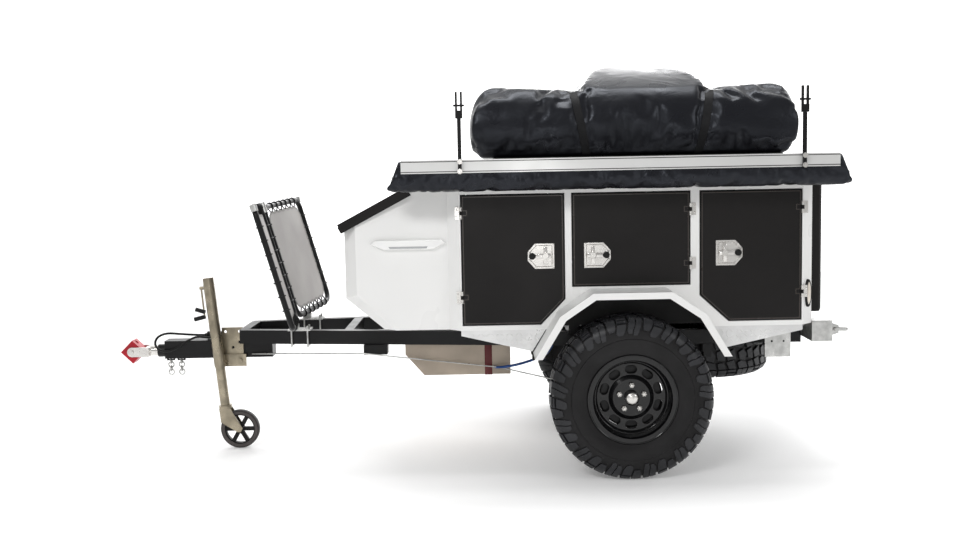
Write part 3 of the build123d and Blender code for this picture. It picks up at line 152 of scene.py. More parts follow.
def tone_group():
    """Two colours mixed by a cloudy mask, a roughness that follows it, and noises for grain and folds."""
    number, colour = "NodeSocketFloat", "NodeSocketColor"
    ins = [("Colour A", colour, WHITE), ("Colour B", colour, WHITE), ("Cloud Scale", number, 3.0),
           ("Grain Scale", number, 300.0), ("Rough Low", number, 0.4), ("Rough High", number, 0.6),
           ("Fold Scale", number, 6.0)]
    outs = [("Colour", colour), ("Roughness", number), ("Grain", number), ("Fold", number)]
    tree, head, tail = new_group("tone_and_grain", ins, outs)
    place = add(tree, "ShaderNodeTexCoord").outputs["Object"]

    def noise(scale, detail, distortion=0.0):
        """A noise on the object's own coordinates."""
        links = [("Vector", place), ("Scale", head.outputs[scale]), ("Detail", detail),
                 ("Distortion", distortion)]
        return add(tree, "ShaderNodeTexNoise", links).outputs["Fac"]

    cloud, grain, fold = noise("Cloud Scale", 4.0), noise("Grain Scale", 2.0), noise("Fold Scale", 3.0, 1.4)
    low, high = CLOUD_EDGES
    mask = add(tree, "ShaderNodeMapRange", [("Value", cloud), ("From Min", low), ("From Max", high)])
    spread = mask.outputs["Result"]
    mix = add(tree, "ShaderNodeMix", [("Factor", spread), (6, head.outputs["Colour A"]),
                                      (7, head.outputs["Colour B"])], data_type="RGBA")
    rough = add(tree, "ShaderNodeMapRange", [("Value", spread), ("To Min", head.outputs["Rough Low"]),
                                             ("To Max", head.outputs["Rough High"])])
    tree.links.new(mix.outputs[2], tail.inputs["Colour"])
    tree.links.new(rough.outputs["Result"], tail.inputs["Roughness"])
    tree.links.new(grain, tail.inputs["Grain"])
    tree.links.new(fold, tail.inputs["Fold"])
    return tree


TONE = tone_group()
print("sockets of the shared group:", len(TONE.interface.items_tree))

# %% [markdown]
# ## Finishes
# Each finish is the shared group with its own colours and numbers. Painted sheet is smooth with a
# slight orange peel, zinc is cloudy, rubber is dull and grainy, and coated cloth has a soft sheen.
# One function makes them all, so that a row of numbers is enough for a new one.

# %% A finish on the shared group


def finish(name, colour, drift=0.85, rough=(0.4, 0.55), cloud=3.0, grain=300.0, bump=0.05, depth=0.0005,
           fold=None, **sockets):
    """A finish that drifts to a darker colour; its grain and fold (scale, strength, depth) are bumps."""
    material = bpy.data.materials.new(name)
    material.use_nodes = True
    tree = material.node_tree
    shader = tree.nodes["Principled BSDF"]
    tone = add(tree, "ShaderNodeGroup", [
        ("Colour A", (*colour, 1)), ("Colour B", (*(channel * drift for channel in colour), 1)),
        ("Cloud Scale", cloud), ("Grain Scale", grain), ("Rough Low", rough[0]), ("Rough High", rough[1])],
        node_tree=TONE)
    tree.links.new(tone.outputs["Colour"], shader.inputs["Base Color"])
    tree.links.new(tone.outputs["Roughness"], shader.inputs["Roughness"])
    ripple = add(tree, "ShaderNodeBump", [("Height", tone.outputs["Grain"]), ("Strength", bump),
                                          ("Distance", depth)])
    tree.links.new(ripple.outputs["Normal"], shader.inputs["Normal"])
    if fold:
        tone.inputs["Fold Scale"].default_value, strength, distance = fold
        crease = add(tree, "ShaderNodeBump", [("Height", tone.outputs["Fold"]), ("Strength", strength),
                                              ("Distance", distance)])
        tree.links.new(crease.outputs["Normal"], ripple.inputs["Normal"])
    for socket, value in sockets.items():
        shader.inputs[socket.replace("_", " ")].default_value = value
    return material


# %% The finishes by name
FINISHES = {}


def paint(name, *numbers, **sockets):
    """Keeps a finish under its name."""
    FINISHES[name] = finish(name, *numbers, **sockets)


# Colour, drift, roughness, cloud scale, grain scale, grain strength and grain depth
paint("white_paint", (0.785, 0.783, 0.772), 0.96, (0.26, 0.36), 1.5, 220, 0.04)
paint("door_black", (0.0085, 0.0074, 0.0072), 0.7, (0.36, 0.48), 2.0, 900, 0.18, Specular_IOR_Level=0.2)
paint("chassis_black", (0.0055, 0.0055, 0.006), 0.7, (0.28, 0.42), 4.0, 500, 0.1, Specular_IOR_Level=0.24)
paint("rim_black", (0.004, 0.004, 0.0045), 0.7, (0.10, 0.18), 6.0, 500, 0.03, Specular_IOR_Level=0.4)
paint("tyre", (0.0105, 0.010, 0.0105), 0.6, (0.34, 0.50), 6.0, 260, 0.25, 0.001, Specular_IOR_Level=0.2)
# A painted sheen: the tread blocks are the same rubber as the carcass, made a lighter, bluish black
paint("tread", (0.021, 0.0215, 0.0245), 0.55, (0.36, 0.52), 7.0, 260, 0.25, 0.001, Specular_IOR_Level=0.35)
# A painted highlight: a lighter, brownish black for the door borders, standing in for the glint on the folded
# edges
paint("door_edge_glint", (0.050, 0.042, 0.037), 0.7, (0.22, 0.32), 3.0, 600, 0.05, Specular_IOR_Level=0.4)
paint("galvanised", (0.60, 0.60, 0.585), 0.72, (0.26, 0.44), 26.0, 120, 0.08, Metallic=0.85)
paint("zinc_gold", (0.36, 0.315, 0.235), 0.66, (0.24, 0.40), 14.0, 200, 0.06, Metallic=0.9)
paint("stainless", (0.74, 0.72, 0.69), 0.80, (0.16, 0.32), 10.0, 400, 0.05, Metallic=0.75)
paint("anodised", (0.66, 0.66, 0.65), 0.93, (0.28, 0.4), 3.0, 500, 0.05, Metallic=0.45)
paint("checker", (0.72, 0.72, 0.715), 0.86, (0.26, 0.42), 9.0, 300, 0.05, Metallic=0.35)
paint("pvc_black", (0.0075, 0.0075, 0.0095), 0.7, (0.24, 0.40), 5.0, 700, 0.2, fold=(6.0, 0.38, 0.012),
      Specular_IOR_Level=0.3, Specular_Tint=(0.82, 0.88, 1.0, 1.0))
paint("lens_grey", (0.42, 0.43, 0.44), 0.9, (0.1, 0.16), 20.0, 300, 0.03)
paint("lens_cream", (0.72, 0.66, 0.58), 0.85, (0.08, 0.14), 30.0, 300, 0.03, Coat_Weight=0.5)
paint("strap_red", (0.13, 0.012, 0.014), 0.8, (0.5, 0.65), 12.0, 700, 0.4, 0.001)
paint("hose_blue", (0.012, 0.075, 0.30), 0.8, (0.3, 0.42), 12.0, 500, 0.1)
paint("tyre_grey", (0.075, 0.066, 0.064), 0.75, (0.5, 0.65), 12.0, 260, 0.15, Specular_IOR_Level=0.25)
paint("hem_grey", (0.27, 0.26, 0.25), 0.85, (0.6, 0.75), 6.0, 500, 0.3, 0.001)
paint("webbing", (0.008, 0.008, 0.009), 0.75, (0.55, 0.7), 12.0, 900, 0.5, 0.001, Specular_IOR_Level=0.2)
paint("mesh_grey", (0.36, 0.345, 0.335), 0.88, (0.6, 0.75), 3.0, 900, 0.4)
paint("coupling_red", (0.42, 0.010, 0.022), 0.8, (0.3, 0.42), 14.0, 300, 0.05, Specular_IOR_Level=0.3)
paint("tan_tray", (0.50, 0.42, 0.335), 0.8, (0.5, 0.65), 6.0, 120, 0.2)
paint("lamp_white", (0.86, 0.86, 0.85), 0.96, (0.12, 0.2), 3.0, 300, 0.03)
paint("lamp_red", (0.36, 0.02, 0.018), 0.8, (0.12, 0.2), 20.0, 300, 0.03)
paint("black_plastic", (0.0065, 0.0065, 0.0065), 0.8, (0.42, 0.55), 5.0, 350, 0.2, Specular_IOR_Level=0.22)
paint("wheel_rubber", (0.009, 0.0085, 0.0085), 0.75, (0.45, 0.6), 12.0, 260, 0.15, Specular_IOR_Level=0.22)
slot_of = {row["node"]: row["material_slot"] for row in frame["record"]["subparts"]}
for name, item in nodes.items():
    item.data.materials.clear()
    item.data.materials.append(FINISHES[slot_of[name]])
print("finishes:", len(FINISHES))

# %% [markdown]
# ## Making and repeating pieces
# Small meshes are written as points and faces. Where one repeats, as blocks, nuts and laces do, a
# Geometry Nodes tree copies it onto points that carry a turn, and the result is kept as a plain
# mesh. A tree is easier to change than a loop of copies, and it makes one mesh for each body.

# %% Meshes from points and faces
SMOOTH_UNDER = 35  # degrees
DOUBLES = 1e-6


def smooth(mesh, angle=SMOOTH_UNDER):
    """Smooths all but the sharp edges."""
    mesh.polygons.foreach_set("use_smooth", [True] * len(mesh.polygons))
    mesh.set_sharp_from_angle(angle=math.radians(angle))
    return mesh


def soften(mesh, angle=SMOOTH_UNDER):
    """Merges doubles, turns the faces outwards and smooths."""
    work = bmesh.new()
    work.from_mesh(mesh)
    bmesh.ops.remove_doubles(work, verts=work.verts, dist=DOUBLES)
    bmesh.ops.recalc_face_normals(work, faces=work.faces)
    work.to_mesh(mesh)
    work.free()
    return smooth(mesh, angle)


def shape(verts, faces, angle=SMOOTH_UNDER):
    """A tidy mesh from points and faces."""
    mesh = bpy.data.meshes.new("shape")
    mesh.from_pydata([tuple(vert) for vert in verts], [], faces)
    return soften(mesh, angle)


def merge(meshes):
    """Several meshes as one."""
    work = bmesh.new()
    for mesh in meshes:
        work.from_mesh(mesh)
    whole = bpy.data.meshes.new("merged")
    work.to_mesh(whole)
    work.free()
    return smooth(whole)


def moved(mesh, matrix):
    """A copy of a mesh in another place."""
    copy = mesh.copy()
    copy.transform(matrix)
    return copy


def grid_faces(rows, columns, round_rows=False, round_columns=False):
    """Faces between rows of points; either way can close on itself."""
    faces = []
    for row in range(rows if round_rows else rows - 1):
        first, second = row * columns, (row + 1) % rows * columns
        for here in range(columns if round_columns else columns - 1):
            there = (here + 1) % columns
            faces.append((first + here, first + there, second + there, second + here))
    return faces


# %% Turned, raised and stacked forms
UPRIGHT = Matrix.Rotation(math.pi / 2, 4, "X")
AXIS = 0.0001  # the small hole left on a turned piece's axis


def round_outline(radius, sides):
    """The corners of a regular outline."""
    turns = [2 * math.pi * i / sides for i in range(sides)]
    return [(radius * math.cos(turn), radius * math.sin(turn)) for turn in turns]


def turned(profile, count, closed=True):
    """A ring about the Y axis from points of (radius, y)."""
    verts = []
    for across, up in round_outline(1, count):
        verts += [(radius * across, y, radius * up) for radius, y in profile]
    return shape(verts, grid_faces(count, len(profile), True, closed))


def knob(top, profile, count, x=0.0):
    """A turned piece that is closed on its axis at the top, set along X."""
    return moved(turned([(AXIS, top)] + profile, count, False), Matrix.Translation((x, 0, 0)))


def prism(points, low, high, place=Matrix()):
    """A flat outline of (x, y) points raised from low to high along Z, then put in a place."""
    size = len(points)
    verts = [(x, y, level) for level in (low, high) for x, y in points]
    faces = [tuple(range(size))[::-1], tuple(range(size, 2 * size))]
    return moved(shape(verts, faces + grid_faces(2, size, False, True)), place)


def bar(start, end, radius, sides=10):
    """A round bar between two points."""
    start, end = Vector(start), Vector(end)
    place = Matrix.Translation(start) @ (end - start).to_track_quat("Z", "Y").to_matrix().to_4x4()
    return prism(round_outline(radius, sides), 0, (end - start).length, place)


def stack(loops):
    """A skin through outlines of equal count, closed over the last one."""
    size = len(loops[0])
    faces = grid_faces(len(loops), size, False, True)
    faces.append(tuple(range((len(loops) - 1) * size, len(loops) * size)))
    return shape([point for loop in loops for point in loop], faces)


def brick(low, high, edge=0.002):
    """A box with rounded edges."""
    work = bmesh.new()
    bmesh.ops.create_cube(work, size=1)
    low, high = Vector(low), Vector(high)
    for vert in work.verts:
        vert.co = (low + high) / 2 + Vector([c * abs(s) for c, s in zip(vert.co, high - low)])
    bmesh.ops.bevel(work, geom=work.edges[:], offset=edge, segments=2, affect="EDGES", profile=0.5)
    mesh = bpy.data.meshes.new("brick")
    work.to_mesh(mesh)
    work.free()
    return soften(mesh)


# %% Pieces on their bodies, and places on the solids
SIDES = {"left": -1, "right": 1}
OUTSIDE = 1.3  # clear of everything, from the middle plane


def dress(item, body, slot, stands_for):
    """Paints an object and rides it on a body, with the solids that it stands for."""
    item.data.materials.clear()
    item.data.materials.append(FINISHES[slot])
    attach(item, body)
    if stands_for:
        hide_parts(*stands_for)


def keep(name, mesh, body, slot, *stands_for):
    """A mesh as a piece on a body."""
    item = link(name, mesh)
    dress(item, body, slot, stands_for)
    print("made", name, "with", len(mesh.polygons), "faces")
    return item


def corners(node):
    """The low and high corners of a solid's box."""
    return [Vector(corner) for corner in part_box(node)]


def middle(node):
    """The middle of a solid's box."""
    low, high = corners(node)
    return (low + high) / 2


def ray_tree(mesh):
    """A tree for rays onto a mesh."""
    return BVHTree.FromPolygons([tuple(vert.co) for vert in mesh.vertices],
                                [tuple(face.vertices) for face in mesh.polygons])


def caster(node):
    """A tree for rays onto a solid."""
    return ray_tree(nodes[node].data)


def seat_on(tree, x, z, sign, flat=0.0):
    """Where a ray from outside meets a solid on one side of the trailer, if it faces that way enough."""
    hit, normal, _, _ = tree.ray_cast(Vector((x, sign * OUTSIDE, z)), Vector((0, -sign, 0)), OUTSIDE)
    return hit if hit and abs(normal.y) > flat else None


def face_turn(sign):
    """The turn about Z that brings a piece made for the -Y side round to its own side."""
    return math.pi if sign > 0 else 0.0


def on_side(centre, half, sign, forward=False):
    """The place of a piece made for the -Y side, mirrored to its side, and end for end if forward."""
    flip = Matrix.Diagonal((-1 if forward else 1, -sign, 1, 1))
    return Matrix.Translation((centre.x, sign * half, centre.z)) @ flip


# %% A tree that repeats a piece on points


def repeat_tree():
    """Copies of an object on points, turned by the points' own attribute, as one painted mesh."""
    tree = bpy.data.node_groups.new("repeat_on_points", "GeometryNodeTree")
    for label, kind in (("Points", "NodeSocketGeometry"), ("Piece", "NodeSocketObject"),
                        ("Size", "NodeSocketFloat"), ("Finish", "NodeSocketMaterial")):
        tree.interface.new_socket(label, in_out="INPUT", socket_type=kind)
    tree.interface.new_socket("Pieces", in_out="OUTPUT", socket_type="NodeSocketGeometry")
    head, tail = tree.nodes.new("NodeGroupInput"), tree.nodes.new("NodeGroupOutput")
    source = add(tree, "GeometryNodeObjectInfo", [("Object", head.outputs["Piece"])])
    turn = add(tree, "GeometryNodeInputNamedAttribute", [("Name", "turn")], data_type="FLOAT_VECTOR")
    copies = add(tree, "GeometryNodeInstanceOnPoints", [
        ("Points", head.outputs["Points"]), ("Instance", source.outputs["Geometry"]),
        ("Rotation", turn.outputs["Attribute"]), ("Scale", head.outputs["Size"])])
    real = add(tree, "GeometryNodeRealizeInstances", [("Geometry", copies.outputs["Instances"])])
    painted = add(tree, "GeometryNodeSetMaterial", [("Geometry", real.outputs["Geometry"]),
                                                    ("Material", head.outputs["Finish"])])
    tree.links.new(painted.outputs["Geometry"], tail.inputs["Pieces"])
    return tree


REPEAT = repeat_tree()
REPEAT_SOCKET = {item.name: item.identifier for item in REPEAT.interface.items_tree if item.in_out == "INPUT"}


def repeated(piece, places, slot, size=1.0):
    """One plain mesh with a copy of the piece at each place of (point, turn)."""
    points = bpy.data.meshes.new("points")
    points.from_pydata([tuple(point) for point, _ in places], [], [])
    turns = points.attributes.new("turn", "FLOAT_VECTOR", "POINT")
    turns.data.foreach_set("vector", [value for _, turn in places for value in turn])
    seed, carrier = link("seed", piece), link("carrier", points)
    modifier = carrier.modifiers.new("repeat", "NODES")
    modifier.node_group = REPEAT
    modifier[REPEAT_SOCKET["Piece"]] = seed
    modifier[REPEAT_SOCKET["Size"]] = size
    modifier[REPEAT_SOCKET["Finish"]] = FINISHES[slot]
    view = bpy.context.evaluated_depsgraph_get()
    mesh = bpy.data.meshes.new_from_object(carrier.evaluated_get(view))
    for item in (carrier, seed):
        bpy.data.objects.remove(item)
    return smooth(mesh)


# %% [markdown]
# ## Tyres
# A mud tyre has a plain sidewall and deep rubber blocks that come over the shoulder. The carcass is
# a turned section. Each block is a patch laid on the section's outer line and raised from it, and
# the tree repeats it round the wheel, so a tyre of over 250 blocks comes from twelve outlines.

# %% The carcass section and the line that the blocks lie on
tyre_low, tyre_high = corners("tyre_left")
TYRE_R = (tyre_high.z - tyre_low.z) / 2
BLOCK_H, WALL_H, BLOCK_ROOT = 0.012, 0.0065, -0.004  # heights at the crown's edge, on the wall and inside
TAPER = 0.06  # the reach over which a block gets lower
REACH = 1.38  # how far the side blocks come down the wall
ACROSS = 4  # points across a side block
BEAD = [(0.2035, -0.100), (0.2215, -0.1075), (0.226, -0.1125), (0.232, -0.1135)]
WALL = [(0.238, -0.1165), (0.258, -0.1215), (0.280, -0.1245), (0.300, -0.1255), (0.3015, -0.1225)]
SHOULDER = [(0.318, -0.1245), (0.340, -0.1235), (0.360, -0.119), (0.376, -0.109), (0.386, -0.094),
            (0.3895, -0.080)]
CROWN = [(0.390, -0.04)]
LINING = [(0.34, 0.10), (0.34, -0.10)]


def both_halves(half):
    """A section from its near half."""
    return half + [(radius, -y) for radius, y in reversed(half)]


carcass = turned(both_halves(BEAD + WALL + SHOULDER + CROWN) + LINING, 120)


def on_tyre(reach, angle, height):
    """A point on the shoulder line, a reach in from the crown's edge, raised by a height."""
    line = [Vector(point) for point in reversed(SHOULDER)]
    left = reach
    for start, end in zip(line, line[1:]):
        run = (end - start).length
        if left <= run or end is line[-1]:
            along = (end - start) / run
            spot = start + along * left + Vector((-along.y, along.x)) * height
            break
        left -= run
    turn = math.radians(angle)
    return (spot.x * math.cos(turn), spot.y, spot.x * math.sin(turn))


def block_patch(rows):
    """A raised patch from rows of (reach, first angle, last angle)."""
    top, root = [], []
    for reach, first, last in rows:
        down = reach * REACH
        height = BLOCK_H + (WALL_H - BLOCK_H) * min(down / TAPER, 1)
        for i in range(ACROSS):
            angle = first + (last - first) * i / (ACROSS - 1)
            top.append(on_tyre(down, angle, height))
            root.append(on_tyre(down, angle, BLOCK_ROOT))
    size, count = len(top), len(rows)
    edge = list(range(ACROSS)) + [row * ACROSS + ACROSS - 1 for row in range(1, count)]
    edge += [size - 1 - i for i in range(1, ACROSS)] + [row * ACROSS for row in range(count - 2, 0, -1)]
    sides = [(here, there, size + there, size + here) for here, there in zip(edge, edge[1:] + edge[:1])]
    return shape(top + root, grid_faces(count, ACROSS) + sides)


# %% The blocks, repeated round the tyre
PAIRS = 13
CROWN_TOP, CROWN_ROOT = 0.0005, 0.016  # below the full radius
# Side blocks: rows of reach in from the crown's edge and the two angles
SIDE_BLOCKS = [
    [(0.0, 0.3, 4.6), (0.018, 0.2, 4.2), (0.036, 0.6, 4.9), (0.052, 1.8, 6.2), (0.066, 3.0, 6.3)],
    [(0.0, 5.3, 9.6), (0.018, 4.9, 9.4), (0.036, 5.6, 10.4), (0.050, 7.0, 11.2), (0.060, 7.4, 10.2)],
    [(0.0, 11.6, 18.6), (0.009, 11.4, 18.4)],
    [(0.014, 11.5, 18.4), (0.023, 11.8, 18.8)],
    [(0.028, 11.9, 18.8), (0.044, 12.6, 19.6), (0.056, 14.0, 20.6), (0.064, 15.4, 19.2)],
    [(0.0, 19.6, 26.4), (0.018, 19.6, 26.2), (0.034, 20.2, 26.4), (0.047, 21.6, 26.0)],
]
# Crown blocks: corners of angle and y, the edge ones first
EDGE_BLOCKS = [
    [(0.5, -0.076), (8.5, -0.076), (10.0, -0.046), (6.5, -0.036), (1.5, -0.046)],
    [(11.5, -0.076), (17.5, -0.076), (20.0, -0.040), (13.5, -0.030)],
    [(20.5, -0.076), (26.4, -0.076), (27.2, -0.046), (22.0, -0.042)],
]
MIDDLE_BLOCKS = [
    [(2.5, -0.038), (8.0, -0.026), (9.0, 0.010), (4.0, 0.026), (1.0, -0.004)],
    [(11.5, -0.022), (18.5, -0.030), (20.5, 0.004), (13.0, 0.030)],
    [(21.0, -0.032), (27.0, -0.026), (28.0, 0.016), (22.5, 0.030)],
]


def crown_block(outline):
    """A tread block from (angle, y) corners, raised nearly to the full radius."""
    verts = []
    for radius in (TYRE_R - CROWN_TOP, TYRE_R - CROWN_ROOT):
        for angle, y in outline:
            turn = math.radians(angle)
            verts.append((radius * math.cos(turn), y, radius * math.sin(turn)))
    return shape(verts, [tuple(range(len(outline)))] + grid_faces(2, len(outline), False, True))


pitch = 2 * math.pi / PAIRS
around = [((0, 0, 0), (0, -pitch * i, 0)) for i in range(PAIRS)]
flipped = [((0, 0, 0), (math.pi, pitch * (i + 0.5), 0)) for i in range(PAIRS)]
side_blocks = merge([block_patch(rows) for rows in SIDE_BLOCKS])
near_crown = merge([crown_block(outline) for outline in EDGE_BLOCKS + MIDDLE_BLOCKS])
far_crown = merge([crown_block(outline) for outline in EDGE_BLOCKS])
tread = merge([repeated(side_blocks, around + flipped, "tyre"), repeated(near_crown, around, "tyre"),
               repeated(far_crown, flipped, "tyre")])

# %% Put the tyre on both wheels and the spare
WHEELS = {
    "tyre_left": ("wheel_left", Matrix()),
    "tyre_right": ("wheel_right", Matrix.Rotation(math.pi, 4, "Z")),
    "spare_tyre": ("chassis", UPRIGHT),
}
for node, (body, turn) in WHEELS.items():
    at = Matrix.Translation(middle(node)) @ turn
    keep(node + "_carcass", moved(carcass, at), body, "tyre", node)
    # The blocks take the tread finish, whose lighter, bluish black is a painted sheen
    keep(node + "_tread", moved(tread, at), body, "tread")

# %% [markdown]
# ## Tent pack and awning bag
# Packed canvas in a coated cover is slack between its straps and tight under them. Sculpted folds
# look stiff, so the cover is a cloth simulation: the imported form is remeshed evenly, its cloth is a
# little larger than the form, a slight pressure fills it, and the straps, base and spline are held.

# %% Slack covers by cloth simulation
CLOTH_RULES = {"quality": 6, "mass": 0.4, "air_damping": 4.0, "tension_stiffness": 18,
               "compression_stiffness": 18, "bending_stiffness": 0.6, "use_pressure": True}
CLOTH_FRAMES = 20
RELAX = 0.35  # how far the last smoothing goes


def positions(mesh):
    """The mesh's points as an array."""
    flat = np.empty(len(mesh.vertices) * 3)
    mesh.vertices.foreach_get("co", flat)
    return flat.reshape(-1, 3)


def simulated(item, held, growth, pressure):
    """The points of an object after its cloth has settled; held marks the points that stay."""
    group = item.vertex_groups.new(name="held")
    for index in np.flatnonzero(held > 0.5):
        group.add([int(index)], 1.0, "REPLACE")
    cloth = item.modifiers.new("slack", "CLOTH")
    for rule, value in CLOTH_RULES.items():
        setattr(cloth.settings, rule, value)
    cloth.settings.uniform_pressure_force = pressure
    cloth.settings.shrink_min = -growth
    cloth.settings.vertex_group_mass = "held"
    cloth.settings.effector_weights.gravity = 0
    cloth.point_cache.frame_start, cloth.point_cache.frame_end = 1, CLOTH_FRAMES
    for step in range(1, CLOTH_FRAMES + 1):
        bpy.context.scene.frame_set(step)
    view = bpy.context.evaluated_depsgraph_get()
    end = positions(item.evaluated_get(view).to_mesh())
    item.modifiers.clear()
    bpy.context.scene.frame_set(1)
    return end


def slack_cover(node, voxel, held, growth, pressure, limit, rise):
    """The node's form as a slack cover; held gives the points that stay, limit and rise the longest moves."""
    item = link(node + "_cover", nodes[node].data.copy())
    even = item.modifiers.new("even", "REMESH")
    even.mode, even.voxel_size = "VOXEL", voxel
    view = bpy.context.evaluated_depsgraph_get()
    mesh = bpy.data.meshes.new_from_object(item.evaluated_get(view))
    item.modifiers.clear()
    item.data = mesh
    start = positions(mesh)
    move = simulated(item, held(start), growth, pressure) - start
    move[:, 2] = np.minimum(move[:, 2], rise)
    far = np.maximum(np.linalg.norm(move, axis=1, keepdims=True), 1e-9)
    mesh.vertices.foreach_set("co", (start + move * np.minimum(1, limit / far)).ravel())
    print(node, "moved up to", round(float(np.minimum(far, limit).max()) * 1000, 1), "mm")
    bpy.data.objects.remove(item)
    mesh.update()
    work = bmesh.new()
    work.from_mesh(mesh)
    bmesh.ops.smooth_vert(work, verts=work.verts, factor=RELAX,
                          use_axis_x=True, use_axis_y=True, use_axis_z=True)
    work.to_mesh(mesh)
    work.free()
    mesh.polygons.foreach_set("use_smooth", [True] * len(mesh.polygons))
    return mesh


# %% The tent pack
TENT_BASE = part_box("tent_pack")[0][2]
TENT_HEM = 0.03  # the lowest stretch, fixed to the base
STRAPS = ((0.590, -0.20), (1.250, 0.20))  # place along the tent, lean along it for each metre up
STRAP_HALF = 0.022
STRAP_LEVEL = 1.83


def strap_x(strap, z):
    """Where a strap is at a height."""
    return strap[0] + strap[1] * (z - STRAP_LEVEL)


def tent_held(points):
    """Held on the base and under the straps."""
    weights = (points[:, 2] < TENT_BASE + TENT_HEM).astype(float)
    for strap in STRAPS:
        weights[np.abs(points[:, 0] - strap_x(strap, points[:, 2])) < STRAP_HALF * 0.8] = 1.0
    return weights


tent_skin = slack_cover("tent_pack", 0.015, tent_held, growth=0.10, pressure=2.5, limit=0.022, rise=0.012)
tent = keep("tent_cover", tent_skin, "chassis", "pvc_black", "tent_pack")

# %% Its straps, laid over the cover by rays from inside
RAYS_FROM = 0.12  # above the base
STRAP_START, STRAP_SWEEP, STRAP_STEPS = -14, 208, 72  # degrees round the pack
STRAP_ROWS = ((-1.0, -0.001), (-0.9, 0.004), (0.9, 0.004), (1.0, -0.001))  # share of half width, lift
FAR_SIDE = 0.5


def strap_mesh(strap, tree):
    """A webbing strap over the cover, from one side of the base to the other."""
    verts = []
    for step in range(STRAP_STEPS + 1):
        turn = math.radians(STRAP_START + STRAP_SWEEP * step / STRAP_STEPS)
        ray = Vector((0, -math.cos(turn), math.sin(turn)))
        start = Vector((strap[0], 0, TENT_BASE + RAYS_FROM))
        level = (tree.ray_cast(start, ray)[0] or start + ray * FAR_SIDE).z
        for share, lift in STRAP_ROWS:
            start.x = strap_x(strap, level) + share * STRAP_HALF
            hit = tree.ray_cast(start, ray)[0] or start + ray * FAR_SIDE
            verts.append(hit + ray * lift)
    return shape(verts, grid_faces(STRAP_STEPS + 1, len(STRAP_ROWS)), 50)


tent_tree = ray_tree(tent.data)
keep("tent_straps", merge([strap_mesh(strap, tent_tree) for strap in STRAPS]), "chassis", "webbing")

# %% The awning bag
bag_low, bag_high = corners("awning_bag")
rail_low, rail_high = corners("awning_profile")
BAG_END, SPLINE = 0.02, 0.006


def bag_held(points):
    """Held where the bag's spline slides in the profile, and at both ends."""
    top = points[:, 2] > rail_low.z - SPLINE
    ends = (points[:, 0] < bag_low.x + BAG_END) | (points[:, 0] > bag_high.x - BAG_END)
    return (top | ends).astype(float)


bag_skin = slack_cover("awning_bag", 0.0095, bag_held, growth=0.05, pressure=2.0, limit=0.009, rise=0.002)
bag = keep("awning_cover", bag_skin, "chassis", "pvc_black", "awning_bag")

# %% [markdown]
# ## Latches
# Each door has a pressed stainless pan with a folding T-handle and a lock. The pan is a stack of
# outlines, from its flange down into its dish, which is the way a press would draw it from sheet.

# %% A pressed pan, a T-handle and a lock
PAN = [(-0.066, -0.063), (0.030, -0.063), (0.066, -0.022), (0.066, 0.022), (0.030, 0.063), (-0.066, 0.063)]
PAN_FACE = -0.0042
# Share of outline, height
FLANGE = [(1.0, 0.0), (1.0, -0.003), (0.975, PAN_FACE), (0.86, PAN_FACE), (0.80, -0.0006)]
PAN_SCREWS = 0.93  # share of outline
T_BAR = [((-0.031, -0.0135, -0.045), (-0.013, -0.003, 0.045)),
         ((-0.050, -0.0120, -0.011), (0.028, -0.003, 0.011))]
SPINDLE_X, LOCK_X = -0.022, 0.044
pan = stack([[(x * share, height, z * share) for x, z in PAN] for share, height in FLANGE])
handle = merge([brick(low, high, 0.003) for low, high in T_BAR])
collar = knob(-0.0165, [(0.0145, -0.0165), (0.0165, -0.0145), (0.0165, -0.002)], 28, SPINDLE_X)
barrel = knob(-0.0185, [(0.0130, -0.0185), (0.0160, -0.0165), (0.0165, -0.0005)], 28, LOCK_X)
screw = knob(-0.0022, [(0.0026, -0.0020), (0.0042, -0.0006), (0.0042, 0.002)], 12)
pan_screws = [((x * PAN_SCREWS, PAN_FACE, z * PAN_SCREWS), (0, 0, 0)) for x, z in PAN]
latch_metal = merge([pan, handle, collar, repeated(screw, pan_screws, "stainless")])

# %% A latch on each door
DOOR_FACE = 0.756
POINTS_FORWARD = {"front": True, "middle": False, "rear": False}
for name, forward in POINTS_FORWARD.items():
    for side, sign in SIDES.items():
        node, body = f"latch_{name}_{side}", f"side_door_{name}_{side}"
        at = on_side(middle(node), DOOR_FACE, sign, forward)
        keep(node + "_dressed", soften(moved(latch_metal, at)), body, "stainless", node)
        keep(node + "_lock", soften(moved(barrel, at)), body, "black_plastic")

# %% [markdown]
# ## Wheel nuts and hub caps
# Bright nuts and a cap stand out against a black rim. A ray finds where each seats on the rim, so
# they still fit if the rim is changed.

# %% Nuts and caps, seated by rays
NUT_COUNT, NUT_CIRCLE, NUT_R = 5, 0.127 / 2, 0.0125
nut = merge([prism(round_outline(NUT_R, 6), -0.02, 0.006, UPRIGHT),
             knob(-0.0125, [(0.005, -0.0120), (0.009, -0.0095), (0.0105, -0.006), (0.0105, 0.0)], 18)])
cap = knob(-0.010, [(0.018, -0.009), (0.025, -0.0065), (0.0285, -0.002), (0.0290, 0.012)], 40)
for side, sign in SIDES.items():
    rim, hub = caster("rim_" + side), middle("tyre_" + side)
    seats = []
    for i in range(NUT_COUNT):
        turn = math.pi / 2 + 2 * math.pi * i / NUT_COUNT
        seat = seat_on(rim, hub.x + NUT_CIRCLE * math.cos(turn), hub.z + NUT_CIRCLE * math.sin(turn), sign)
        seats.append((seat, (0, 0, face_turn(sign))))
    cap_seat = seat_on(rim, hub.x, hub.z, sign) or hub
    cap_at = Matrix.Translation(cap_seat) @ Matrix.Rotation(face_turn(sign), 4, "Z")
    bright = merge([repeated(nut, seats, "stainless"), moved(cap, cap_at)])
    keep("wheel_nuts_" + side, bright, "wheel_" + side, "stainless")

# %% [markdown]
# ## Rim lips and brake drums
# A steel rim has a rolled lip at its edge and a round step inside it, which catch the light, and the
# brake drum darkens its holes. All are rings, so each is a turned section, set where rays meet the rim.

